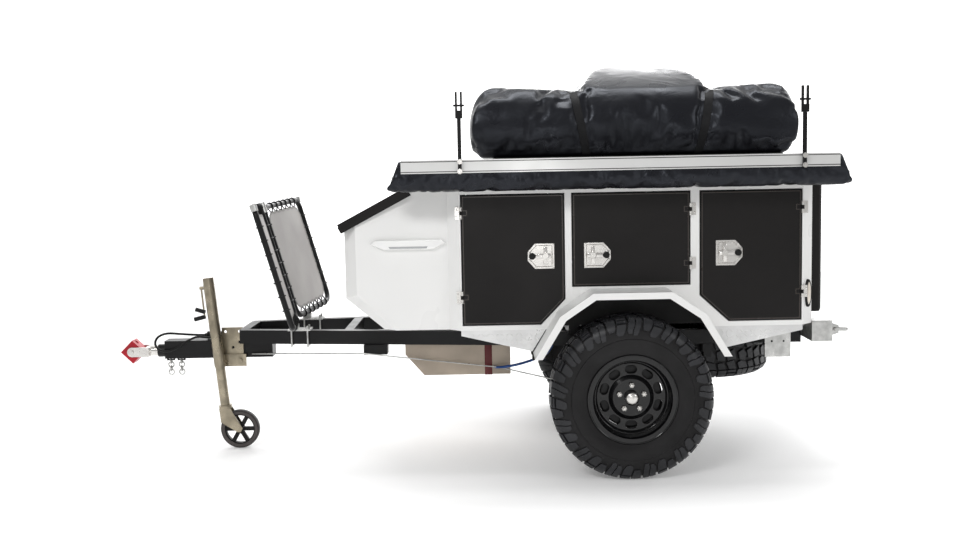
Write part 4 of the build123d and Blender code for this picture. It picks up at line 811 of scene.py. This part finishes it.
# %% Turned rings on each wheel
LIP_R, LIP_RADII = 0.0034, (0.2185, 0.1800)
DISC_R = 0.105  # where the disc's depth is measured
DRUM_BORE, DRUM_R, DRUM_EDGE, DRUM_SET, DRUM_DEEP = 0.045, 0.158, 0.008, 0.030, 0.045
for side, sign in SIDES.items():
    rim, hub = caster("rim_" + side), middle("tyre_" + side)
    lips = []
    for radius in LIP_RADII:
        seat = seat_on(rim, hub.x + radius, hub.z, sign)
        if seat:
            lips.append(turned([(radius + x, seat.y - hub.y + y) for x, y in round_outline(LIP_R, 10)], 96))
    keep("rim_lips_" + side, moved(merge(lips), Matrix.Translation(hub)), "wheel_" + side, "rim_black")
    disc = seat_on(rim, hub.x + DISC_R, hub.z, sign) or hub
    near = disc.y - hub.y - sign * DRUM_SET
    far = near - sign * DRUM_DEEP
    drum = turned([(DRUM_BORE, near), (DRUM_R - DRUM_EDGE, near), (DRUM_R, near - sign * DRUM_EDGE),
                   (DRUM_R, far), (DRUM_BORE, far)], 72)
    keep("brake_drum_" + side, moved(drum, Matrix.Translation(hub)), "wheel_" + side, "chassis_black")

# %% [markdown]
# ## Door borders
# The folded edge of a door skin shows a thin line of light, given here as a painted highlight: a low raised
# border in a lighter, brownish black than the door. The door's own outer face gives the outline, and two
# insets and a low extrusion make the border, so it follows the door's cut corners.

# %% A raised border from each door's outer face
BORDER_IN, BORDER_W, BORDER_H = 0.007, 0.0045, 0.0012
FLAT_ANGLE = 0.01  # radians


def outer_outline(node, sign):
    """The corners of a solid's largest face on one side."""
    work = bmesh.new()
    work.from_mesh(nodes[node].data)
    bmesh.ops.remove_doubles(work, verts=work.verts, dist=DOUBLES)
    bmesh.ops.dissolve_limit(work, angle_limit=FLAT_ANGLE, verts=work.verts, edges=work.edges)
    facing_out = [face for face in work.faces if face.normal.y * sign > 0.99]
    outline = [vert.co.copy() for vert in max(facing_out, key=lambda face: face.calc_area()).verts]
    work.free()
    return outline


def inset(work, thickness):
    """Insets the only face, and returns the face inside."""
    bmesh.ops.inset_region(work, faces=work.faces[:], thickness=thickness,
                           use_even_offset=True, use_boundary=True)
    return max(work.faces, key=lambda face: face.calc_area())


def border_mesh(outline, sign):
    """A low raised frame inside an outline."""
    work = bmesh.new()
    work.faces.new([work.verts.new(point) for point in outline])
    inner = inset(work, BORDER_IN)
    bmesh.ops.delete(work, geom=[face for face in work.faces if face is not inner], context="FACES")
    inner = inset(work, BORDER_W)
    bmesh.ops.delete(work, geom=[inner], context="FACES_ONLY")
    raised = bmesh.ops.extrude_face_region(work, geom=work.faces[:])
    for vert in (item for item in raised["geom"] if isinstance(item, bmesh.types.BMVert)):
        vert.co.y += sign * BORDER_H
    mesh = bpy.data.meshes.new("border")
    work.to_mesh(mesh)
    work.free()
    return soften(mesh)


for name in POINTS_FORWARD:
    for side, sign in SIDES.items():
        border = border_mesh(outer_outline(f"door_{name}_{side}", sign), sign)
        # Each border carries the painted highlight of its door's folded edge
        keep(f"door_border_{name}_{side}", border, f"side_door_{name}_{side}", "door_edge_glint")

# %% [markdown]
# ## Porch lamps
# The nose has a slim lamp on each side with pointed ends and a long lens under its brow. It is a
# moulded form, so a stack of outlines that draw in towards the face gives its rounded edge.

# %% Shells and lens slits
PORCH = [(-0.190, 0.004), (-0.168, 0.022), (0.168, 0.022), (0.190, 0.004), (0.128, -0.026), (-0.128, -0.026)]
PORCH_RISE = [(1.0, 0.0), (1.0, -0.010), (0.96, -0.017), (0.86, -0.0205)]  # share of outline, height
PORCH_DRAW = 0.4  # how far the ends draw in, against the edges
SLIT = [(-0.092, -0.020), (0.092, -0.020), (0.098, -0.010), (-0.098, -0.010)]
SLIT_RISE = (-0.012, -0.0218)
NOSE_HALF = 0.690
shell = stack([[(x * (1 - (1 - share) * PORCH_DRAW), height, z * share) for x, z in PORCH]
               for share, height in PORCH_RISE])
slit = stack([[(x, height, z) for x, z in SLIT] for height in SLIT_RISE])
porch_places = [on_side(middle("porch_lamps"), NOSE_HALF, sign) for sign in SIDES.values()]
shells, slits = (merge([soften(moved(mesh, at)) for at in porch_places]) for mesh in (shell, slit))
keep("porch_shells", shells, "chassis", "lamp_white", "porch_lamps")
keep("porch_slits", slits, "chassis", "lens_grey")

# %% [markdown]
# ## Checker plate
# The sills are checker plate, whose raised bars lie turn and turn about. One low oval bar is repeated
# on a grid, and rays leave out the places where it would hang over the plate's edge.

# %% Bars on the sills
BAR_PITCH, BAR_TURN = 0.024, math.radians(45)
BAR_LONG, BAR_WIDE = 0.011, 0.0032
BAR_RISE = ((1, 0.001), (0.92, -0.0010), (0.6, -0.0019))  # share of outline, height
BAR_ROOM = ((0.012, 0), (-0.012, 0), (0, 0.01), (0, -0.01))
FACING = 0.9
bar_outline = [(BAR_LONG * across, BAR_WIDE * up) for across, up in round_outline(1, 12)]
checker_bar = stack([[(x * share, height, z * share) for x, z in bar_outline] for share, height in BAR_RISE])
plates = caster("sill_plates")
plate_low, plate_high = corners("sill_plates")
columns = int((plate_high.x - plate_low.x) / BAR_PITCH)
rows = int((plate_high.z - plate_low.z) / BAR_PITCH) + 1
for side, sign in SIDES.items():
    spots = []
    for column in range(columns):
        for row in range(rows):
            x, z = plate_low.x + BAR_PITCH * (column + 0.5), plate_low.z + BAR_PITCH * (row + 0.5)
            hit = seat_on(plates, x, z, sign)
            if hit and all(seat_on(plates, x + dx, z + dz, sign, FACING) for dx, dz in BAR_ROOM):
                lie = BAR_TURN if (row + column) % 2 else -BAR_TURN
                spots.append((hit, (0, lie, face_turn(sign))))
    keep("checker_bars_" + side, repeated(checker_bar, spots, "checker"), "chassis", "checker")
    print("checker bars", side, len(spots))

# %% [markdown]
# ## Awning rail, posts and tank strap
# The awning's rail has two dark lips, its posts are bolted on, and a red strap goes round the
# water tank. Lips and strap are thin bricks with rounded edges, and the bolt is repeated on seats.

# %% Rail lips, bolts and the strap
RAIL_LIP_H, RAIL_LIP_OUT, RAIL_LIP_IN = 0.0035, 0.0012, 0.004
RAIL_LIP_LEVELS = (rail_low.z + 0.006, rail_high.z - 0.010)
rail_lip_out, rail_lip_in = rail_low.y - RAIL_LIP_OUT, rail_low.y + RAIL_LIP_IN
rail_lips = [brick((rail_low.x, rail_lip_out, z), (rail_high.x, rail_lip_in, z + RAIL_LIP_H), 0.0005)
           for z in RAIL_LIP_LEVELS]
keep("awning_lips", merge(rail_lips), "chassis", "black_plastic")
POST_X, POST_BOLT_Z, BOLT_R = (0.001, 1.644), (1.527, 1.573), 0.0085
bolt = merge([prism(round_outline(BOLT_R, 6), 0.0, 0.006, UPRIGHT),
              knob(-0.001, [(0.0125, -0.001), (0.0125, 0.002)], 20)])
posts = caster("awning_posts")
bolt_seats = [(seat_on(posts, x, z, -1), (0, 0, 0)) for x in POST_X for z in POST_BOLT_Z]
bolt_seats = [(seat, turn) for seat, turn in bolt_seats if seat]
keep("post_bolts", repeated(bolt, bolt_seats, "stainless"), "chassis", "stainless")
tank_low, tank_high = corners("tank_tray")
STRAP_X, STRAP_W, STRAP_T = 0.118, 0.040, 0.0025
strap_near, strap_far = STRAP_X - STRAP_W / 2, STRAP_X + STRAP_W / 2
under = tank_low.z - STRAP_T
wrap = [((strap_near, y - STRAP_T, under), (strap_far, y + STRAP_T, tank_high.z))
        for y in (tank_low.y, tank_high.y)]
wrap.append(((strap_near, tank_low.y, under), (strap_far, tank_high.y, tank_low.z + STRAP_T)))
keep("tank_strap", merge([brick(low, high, 0.001) for low, high in wrap]), "chassis", "strap_red")

# %% [markdown]
# ## Nose box
# The nose is folded from sheet: its front corners are cut off, its sides lean in above a crease,
# and its underside slopes. A skin through four outlines across the width gives those folds, and
# the hollow and the mouth under the lid are cut from it by booleans.

# %% The folded skin
nose_low, nose_high = corners("nose_box")
NOSE_CUT, LEAN_IN = 0.062, 0.022
STEP_RISE, FOOT_BACK = 0.35, 1.1  # how far the cut lifts the step and sets the foot back
STEP_Z, LID_FOOT_Z, LID_HEAD_X, LID_HEAD_Z, FOOT_X = 0.892, 1.250, -0.257, 1.430, -0.410
front, back, floor_z, roof_z = nose_low.x, nose_high.x, nose_low.z, nose_high.z
crease_z = LID_FOOT_Z - 0.004
lid_corner = Vector((front, LID_FOOT_Z))
lid_slope = Vector((LID_HEAD_X, LID_HEAD_Z)) - lid_corner
lid_along, lid_run = lid_slope.normalized(), lid_slope.length
lid_over = Vector((-lid_along.y, lid_along.x))
NOSE_FOLD = 12  # degrees


def nose_loop(sign, inner):
    """One outline across the nose; the outer ones are cut back at the front and lean in at the top."""
    cut, lean = (0, 0) if inner else (NOSE_CUT, LEAN_IN)
    y = sign * (NOSE_HALF - (NOSE_CUT if inner else 0))
    top = y - sign * lean
    lip_z = LID_FOOT_Z + cut * lid_slope.y / lid_slope.x
    return [(front + cut, y, STEP_Z + cut * STEP_RISE), (front + cut, y, crease_z), (front + cut, y, lip_z),
            (LID_HEAD_X, top, LID_HEAD_Z), (back, top, roof_z), (back, y, crease_z), (back, y, floor_z),
            (FOOT_X + cut * FOOT_BACK, y, floor_z)]


loops = [nose_loop(-1, False), nose_loop(-1, True), nose_loop(1, True), nose_loop(1, False)]
size = len(loops[0])
faces = grid_faces(len(loops), size, False, True)
for start in (0, (len(loops) - 1) * size):
    faces += [tuple(start + i for i in part) for part in ((0, 1, 5, 6, 7), (1, 2, 3, 4, 5))]
nose_form = shape([point for loop in loops for point in loop], faces, NOSE_FOLD)

# %% Hollowed out, with a mouth under the lid
# Puts an outline in XZ, raised along Y
ACROSS_BODY = Matrix(((1, 0, 0, 0), (0, 0, 1, 0), (0, 1, 0, 0), (0, 0, 0, 1)))
WALL_T = 0.02
CORE_HALF, MOUTH_HALF = NOSE_HALF - 0.045, NOSE_HALF - 0.07
MOUTH_FOOT, MOUTH_HEAD, MOUTH_DEEP, MOUTH_OVER = 0.075, 0.045, 0.06, 0.02


def slope(reach, above):
    """A point on the lid's slope, up it and out from it."""
    return tuple(lid_corner + lid_along * reach + lid_over * above)


def carved(mesh, cutters):
    """A mesh less some cutters."""
    item = link("carved", mesh)
    tools = [link("cutter", cutter) for cutter in cutters]
    for tool in tools:
        cut = item.modifiers.new("cut", "BOOLEAN")
        cut.operation, cut.object, cut.solver = "DIFFERENCE", tool, "EXACT"
    view = bpy.context.evaluated_depsgraph_get()
    result = bpy.data.meshes.new_from_object(item.evaluated_get(view))
    for thing in (item, *tools):
        bpy.data.objects.remove(thing)
    return result


core = [(front + NOSE_CUT, STEP_Z + 0.04), (front + NOSE_CUT, LID_FOOT_Z - 0.002),
        (LID_HEAD_X, LID_HEAD_Z - WALL_T), (back - WALL_T, roof_z - 0.03),
        (back - WALL_T, floor_z + WALL_T), (FOOT_X + 0.06, floor_z + WALL_T)]
mouth = [slope(MOUTH_FOOT, -MOUTH_DEEP), slope(lid_run - MOUTH_HEAD, -MOUTH_DEEP),
         slope(lid_run - MOUTH_HEAD, MOUTH_OVER), slope(MOUTH_FOOT, MOUTH_OVER)]
cutters = [soften(prism(outline, -half, half, ACROSS_BODY))
           for outline, half in ((core, CORE_HALF), (mouth, MOUTH_HALF))]
keep("nose_skin", soften(carved(nose_form, cutters), NOSE_FOLD), "chassis", "white_paint", "nose_box")

# %% [markdown]
# ## Nose lid
# The lid is a folded tray, and its edge hangs over the nose. Three thin outlines in the lid's own
# slope, raised across or beside it, make the fold without touching the solid lid.

# %% The lid's folded edge
LID_T, LID_LAP, FOLD_DROP, FOLD_T, FOLD_HEAD = 0.030, 0.014, 0.018, 0.004, 0.004
lid_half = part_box("nose_lid")[1][1]
lap = -LID_LAP - FOLD_T
cheek = [slope(lap, -FOLD_DROP), slope(lid_run - FOLD_HEAD, -FOLD_DROP), slope(lid_run - FOLD_HEAD, LID_T),
         slope(-LID_LAP * 0.2, LID_T), slope(lap, LID_T * 0.5)]
lip = [slope(lap, -FOLD_DROP), slope(-LID_LAP, -FOLD_DROP),
       slope(-LID_LAP, LID_T * 0.6), slope(lap, LID_T * 0.5)]
folds = [prism(cheek, sign * lid_half, sign * (lid_half + FOLD_T), ACROSS_BODY) for sign in SIDES.values()]
folds.append(prism(lip, -lid_half, lid_half, ACROSS_BODY))
keep("lid_folds", merge([soften(fold) for fold in folds]), "lid", "door_black")

# %% [markdown]
# ## Stone guard
# Each wing is a tube ring with a mesh cloth laced into it. The cloth is stretched, so its edge is
# drawn in between the laces, which a cosine along each edge gives. A loop of cord goes round the
# tube at each lace, and the tree repeats it.

# %% A wing's axes and the points of its cloth
WING_FOOT, WING_SWEEP = Vector((-0.965, 0.034, 0.716)), Vector((0.090, 0.616, 0.025))
WING_LEAN = Vector((-0.175, 0, 0.623))
CLOTH_INSET, SCALLOP, CORNER_IN, CORNER_POWER = 0.029, 0.006, 0.03, 8
LACES_WIDE, LACES_TALL = 7, 8
Wing = namedtuple("Wing", "foot sweep wide tall u v normal")


def wing_on(sign):
    """The axes of one wing: u across and v up, both of length one."""
    foot, sweep = (Vector((point.x, sign * point.y, point.z)) for point in (WING_FOOT, WING_SWEEP))
    u, v = sweep.normalized(), WING_LEAN.normalized()
    v = (v - u * u.dot(v)).normalized()
    return Wing(foot, sweep, sweep.length, WING_LEAN.length, u, v, u.cross(v))


def drawn_in(share, laces):
    """How far an edge is drawn in at a share of its length."""
    return SCALLOP * (0.5 - 0.5 * math.cos(2 * math.pi * share * laces))


def cloth_spot(wing, a, b, lift=0.0):
    """A point on the cloth from shares across and up, drawn in between the laces."""
    corner = CORNER_IN * (abs(2 * a - 1) * abs(2 * b - 1)) ** CORNER_POWER
    u = CLOTH_INSET + a * (wing.wide - 2 * CLOTH_INSET) - drawn_in(b, LACES_TALL) * (2 * a - 1)
    v = CLOTH_INSET + b * (wing.tall - 2 * CLOTH_INSET) - drawn_in(a, LACES_WIDE) * (2 * b - 1)
    u -= corner * (1 if a > 0.5 else -1)
    v -= corner * (1 if b > 0.5 else -1)
    return wing.foot + wing.u * u + wing.v * v + wing.normal * lift


# %% The hem round the cloth and the laces
GRID = 48
HEM_W, HEM_LIFT = 0.017, 0.0022
LACE_R, LACE_CORD, LACE_BEND = 0.0185, 0.0036, 16
LACE_TIP = [(0.034, 0, -0.005), (0.038, 0, 0), (0.034, 0, 0.005)]


def hem_mesh(wing):
    """A flat band along the cloth's edge, a little proud of it on both faces."""
    shares = [i / GRID for i in range(GRID)]
    edge = [(share, 0.0) for share in shares] + [(1.0, share) for share in shares]
    edge += [(1 - share, 1.0) for share in shares] + [(0.0, 1 - share) for share in shares]
    share_u, share_v = HEM_W / wing.wide, HEM_W / wing.tall
    verts = []
    for a, b in edge:
        inside = (min(max(a, share_u), 1 - share_u), min(max(b, share_v), 1 - share_v))
        for at, lift in (((a, b), HEM_LIFT), (inside, HEM_LIFT), (inside, -HEM_LIFT), ((a, b), -HEM_LIFT)):
            verts.append(cloth_spot(wing, *at, lift))
    return shape(verts, grid_faces(len(edge), 4, True, True))


def tube_loop(line, radius, sides=6):
    """A closed tube along a loop that lies in the XZ plane."""
    verts, count = [], len(line)
    for i, spot in enumerate(line):
        ahead = (line[(i + 1) % count] - line[i - 1]).normalized()
        out = Vector((ahead.z, 0, -ahead.x))
        verts += [spot + out * across + Vector((0, up, 0)) for across, up in round_outline(radius, sides)]
    return shape(verts, grid_faces(count, sides, True, True), 60)


def lace_places(wing):
    """Where the laces go round the tube, with their turns."""
    places = []
    for number, aside, span, inward, reach in ((LACES_WIDE, wing.u, wing.wide, wing.v, wing.tall),
                                               (LACES_TALL, wing.v, wing.tall, wing.u, wing.wide)):
        for i in range(1, number):
            for end in (0, 1):
                along = CLOTH_INSET + i / number * (span - 2 * CLOTH_INSET)
                into = inward * (1 - 2 * end)
                axes = Matrix((into, aside, into.cross(aside))).transposed()
                places.append((wing.foot + aside * along + inward * (reach * end), tuple(axes.to_euler())))
    return places


bend = [math.pi / 2 + math.pi * step / (LACE_BEND - 1) for step in range(LACE_BEND)]
lace_line = [Vector((LACE_R * math.cos(turn), 0, LACE_R * math.sin(turn))) for turn in bend]
lace = tube_loop(lace_line + [Vector(point) for point in LACE_TIP], LACE_CORD)

# %% Both wings
CLOTH_T = 0.0016
CAP_R, CAP_SIDES = 0.0185, 20
INNER_CAP, OUTER_CAP = (0.03, 0.030), (0.02, 0.016)  # how far a cap goes down the tube and past it
for side, sign in SIDES.items():
    wing = wing_on(sign)
    shares = [i / GRID for i in range(GRID + 1)]
    spots = [cloth_spot(wing, a, b) for b in shares for a in shares]
    cloth_mesh = shape(spots, grid_faces(GRID + 1, GRID + 1))
    stood_for = ["guard_meshes"] if sign < 0 else []
    cloth = keep("guard_cloth_" + side, cloth_mesh, "chassis", "mesh_grey", *stood_for)
    thick = cloth.modifiers.new("thick", "SOLIDIFY")
    thick.thickness, thick.offset = CLOTH_T, 0.0
    hem = keep("guard_hem_" + side, hem_mesh(wing), "chassis", "hem_grey")
    laces = repeated(lace, lace_places(wing), "black_plastic")
    cords = keep("guard_laces_" + side, laces, "chassis", "black_plastic")
    top = wing.foot + WING_LEAN
    caps = [bar(end - wing.v * down, end + wing.v * past, CAP_R, CAP_SIDES)
            for end, (down, past) in ((top, INNER_CAP), (top + wing.sweep, OUTER_CAP))]
    keep("guard_caps_" + side, merge(caps), "chassis", "galvanised")

# %% [markdown]
# ## Towing lead
# The lead leaves its gland on the tongue, hangs round the tongue's nose and parks its plug in a
# socket. A curve with a round bevel is the plainest cord, and its points are the route of the solid.

# %% The lead as a curve, and its plug
LEAD_R = 0.0065
LEAD_ROUTE = [(-1.420, -0.024, 0.612), (-1.470, -0.024, 0.612), (-1.525, -0.046, 0.625),
              (-1.580, -0.068, 0.600), (-1.635, -0.072, 0.560), (-1.690, -0.070, 0.542),
              (-1.740, -0.066, 0.553), (-1.766, -0.052, 0.588), (-1.752, -0.030, 0.625),
              (-1.705, -0.006, 0.640), (-1.645, 0.010, 0.632), (-1.580, 0.018, 0.625),
              (-1.515, 0.016, 0.622), (-1.455, 0.016, 0.622)]
PLUG = [(0.0085, -0.040), (0.0120, -0.030), (0.0215, -0.024), (0.0215, -0.018), (0.0195, -0.016),
        (0.0195, -0.010), (0.0215, -0.008), (0.0215, -0.002), (0.0195, 0.0), (AXIS, 0.0)]


def cord_curve(name, route, radius, body, slot, *stands_for):
    """A NURBS cord through a route, with its length."""
    curve = bpy.data.curves.new(name, "CURVE")
    curve.dimensions, curve.resolution_u = "3D", 10
    line = curve.splines.new("NURBS")
    line.points.add(len(route) - 1)
    for spot, place in zip(line.points, route):
        spot.co = (*place, 1)
    line.order_u, line.use_endpoint_u = 3, True
    item = link(name, curve)
    bare = item.to_mesh()
    ends = [[bare.vertices[index].co for index in edge.vertices] for edge in bare.edges]
    length = sum((start - end).length for start, end in ends)
    item.to_mesh_clear()
    curve.bevel_depth, curve.bevel_resolution, curve.use_fill_caps = radius, 4, True
    dress(item, body, slot, stands_for)
    print(name, "length", round(length, 3))
    return item, length


lead, lead_length = cord_curve("lead", LEAD_ROUTE, LEAD_R, "chassis", "black_plastic", "tow_lead")
plug_at = Matrix.Translation(LEAD_ROUTE[-1]) @ Matrix.Rotation(-math.pi / 2, 4, "Z")
keep("lead_plug", moved(knob(-0.040, PLUG, 28), plug_at), "chassis", "black_plastic")

# %% [markdown]
# ## Water hose
# A blue hose runs from the tank up to the frame behind the flare. It is a cord like the lead, and its
# ends are the nearest points on the two solids, so that it stays joined to both.

# %% The hose from the tank to the frame


def nearest(node, point):
    """The nearest point on a solid."""
    return caster(node).find_nearest(Vector(point))[0]


HOSE_R = 0.007
hose_start = nearest("tank_tray", (0.15, -0.36, 0.470))
hose_end = nearest("chassis_frame", (0.47, -0.36, 0.600))
hose_route = [hose_start, hose_start + Vector((0.010, -0.030, 0.0)), (0.235, -0.368, 0.478),
              (0.330, -0.368, 0.500), (0.420, -0.362, 0.535),
              hose_end + Vector((-0.020, -0.012, -0.035)), hose_end]
hose, hose_length = cord_curve("water_hose", hose_route, HOSE_R, "chassis", "hose_blue")

# %% [markdown]
# ## Jack grips and caster tyre
# The crank's arms end in rubber grips, and the jack's wheel has a grey rubber tyre. Plain bars and a
# turned section are enough, and each rides on its own body, so it follows the jack.

# %% Grips and rubber
GRIP_R, GRIP_SIDES = 0.0118, 16
GRIPS = [((-1.4532, -0.120, 0.770), (-1.5060, -0.120, 0.7862)),
         ((-1.4532, -0.120, 0.745), (-1.5142, -0.120, 0.7298))]
CASTER_HALF = [(0.0845, -0.0203), (0.1000, -0.0203), (0.1055, -0.0165), (0.1074, -0.010)]
grips = merge([bar(start, end, GRIP_R, GRIP_SIDES) for start, end in GRIPS])
keep("crank_grips", grips, "jack", "black_plastic")
caster_at = Matrix.Translation(middle("jack_wheel"))
keep("caster_tyre", moved(turned(both_halves(CASTER_HALF), 64), caster_at), "caster_wheel", "tyre_grey")

# %% [markdown]
# ## Tail lamps and bumper ends
# An oval lamp stands on each cut rear corner, with a cream lens in a black ring, and the bumper's
# tube is closed by a plate. Ring and lens are stacks of one oval at different shares and heights.

# %% Oval lamps on the rear corners, and end plates
OVAL_TALL, OVAL_WIDE, OVAL_POWER = 0.070, 0.022, 0.8  # a power below one squares the ends
# Share of outline, height
LAMP_RING = [(1.0, 0.0), (1.0, 0.008), (0.95, 0.012), (0.84, 0.012), (0.82, 0.004)]
LAMP_LENS = [(0.83, 0.004), (0.80, 0.010), (0.60, 0.0145), (0.25, 0.016)]
LAMP_X, LAMP_Y, LAMP_Z = 1.724, 0.720, middle("tail_lamps").z
END_PLATE = [(1.758, 0.6375), (1.861, 0.6375), (1.861, 0.7365), (1.758, 0.7365)]
BUMPER_END, PLATE_IN, PLATE_OUT = 0.690, 0.002, 0.004
oval = [(OVAL_TALL * math.copysign(abs(up) ** OVAL_POWER, up), OVAL_WIDE * across)
        for up, across in round_outline(1, 32)]


def corner_stack(rows, sign):
    """A stack of ovals that faces out from a rear corner."""
    out, level = Vector((1, sign, 0)).normalized(), Vector((1, -sign, 0)).normalized()
    seat, up = Vector((LAMP_X, sign * LAMP_Y, LAMP_Z)), Vector((0, 0, 1))
    return stack([[seat + up * tall * share + level * wide * share + out * rise for tall, wide in oval]
                  for share, rise in rows])


rings = merge([corner_stack(LAMP_RING, sign) for sign in SIDES.values()])
lenses = merge([corner_stack(LAMP_LENS, sign) for sign in SIDES.values()])
keep("tail_lamp_rings", rings, "chassis", "black_plastic", "tail_lamps")
keep("tail_lamp_lenses", lenses, "chassis", "lens_cream")
plate_near, plate_far = BUMPER_END - PLATE_IN, BUMPER_END + PLATE_OUT
end_plates = [soften(prism(END_PLATE, sign * plate_near, sign * plate_far, ACROSS_BODY))
              for sign in SIDES.values()]
keep("bumper_ends", merge(end_plates), "chassis", "galvanised")

# %% [markdown]
# ## Hinge screws
# Two screws hold each hinge leaf to the body. The latch's screw is used again, and rays seat it on
# the leaves, so a screw that would miss its leaf is left out.

# %% Screws on the hinge leaves
HINGE_LEVELS = {"front": (0.900, 1.320), "middle": (1.052, 1.320), "rear": (0.900, 1.320)}
HINGE_EDGES = {"front": (-0.006, -1), "middle": (1.136, 1), "rear": (1.690, 1)}  # place, way to the leaf
SCREW_ASIDE, SCREW_DROPS = 0.020, (-0.016, 0.016)
leaves = caster("hinge_leaves")
screw_seats = []
for name, levels in HINGE_LEVELS.items():
    edge_x, towards = HINGE_EDGES[name]
    for z in [level + drop for level in levels for drop in SCREW_DROPS]:
        for sign in SIDES.values():
            seat = seat_on(leaves, edge_x + towards * SCREW_ASIDE, z, sign, FACING)
            if seat:
                screw_seats.append((seat, (0, 0, face_turn(sign))))
keep("hinge_screws", repeated(screw, screw_seats, "stainless"), "chassis", "stainless")
print("hinge screws:", len(screw_seats))

# %% [markdown]
# ## Floor and backdrop
# The photograph has a plain white ground. A pale floor keeps a soft contact shadow, and a glowing
# wall far behind it whites out the horizon. Both are staging, so neither is part of the trailer.

# %% The floor and the wall behind it
REACH_OUT, WALL_Y = 30.0, 9.0
FLOOR_GLOW, WALL_GLOW = 0.16, 1.0


def staged(name, points, material, glow):
    """A glowing sheet that is staging."""
    shader = material.node_tree.nodes["Principled BSDF"]
    shader.inputs["Emission Color"].default_value = WHITE
    shader.inputs["Emission Strength"].default_value = glow
    mesh = bpy.data.meshes.new(name)
    mesh.from_pydata(points, [], [(0, 1, 2, 3)])
    mesh.materials.append(material)
    link(name, mesh)


near, far = -REACH_OUT, REACH_OUT
floor_points = [(near, near, 0), (far, near, 0), (far, far, 0), (near, far, 0)]
wall_points = [(near, WALL_Y, 0), (far, WALL_Y, 0), (far, WALL_Y, far), (near, WALL_Y, far)]
white_glow = bpy.data.materials.new("white_glow")
white_glow.use_nodes = True
pale_floor = finish("pale_floor", (0.86, 0.86, 0.86), 0.99, (0.6, 0.7), 0.5, 40, 0.0)
staged("floor", floor_points, pale_floor, FLOOR_GLOW)
staged("backdrop", wall_points, white_glow, WALL_GLOW)
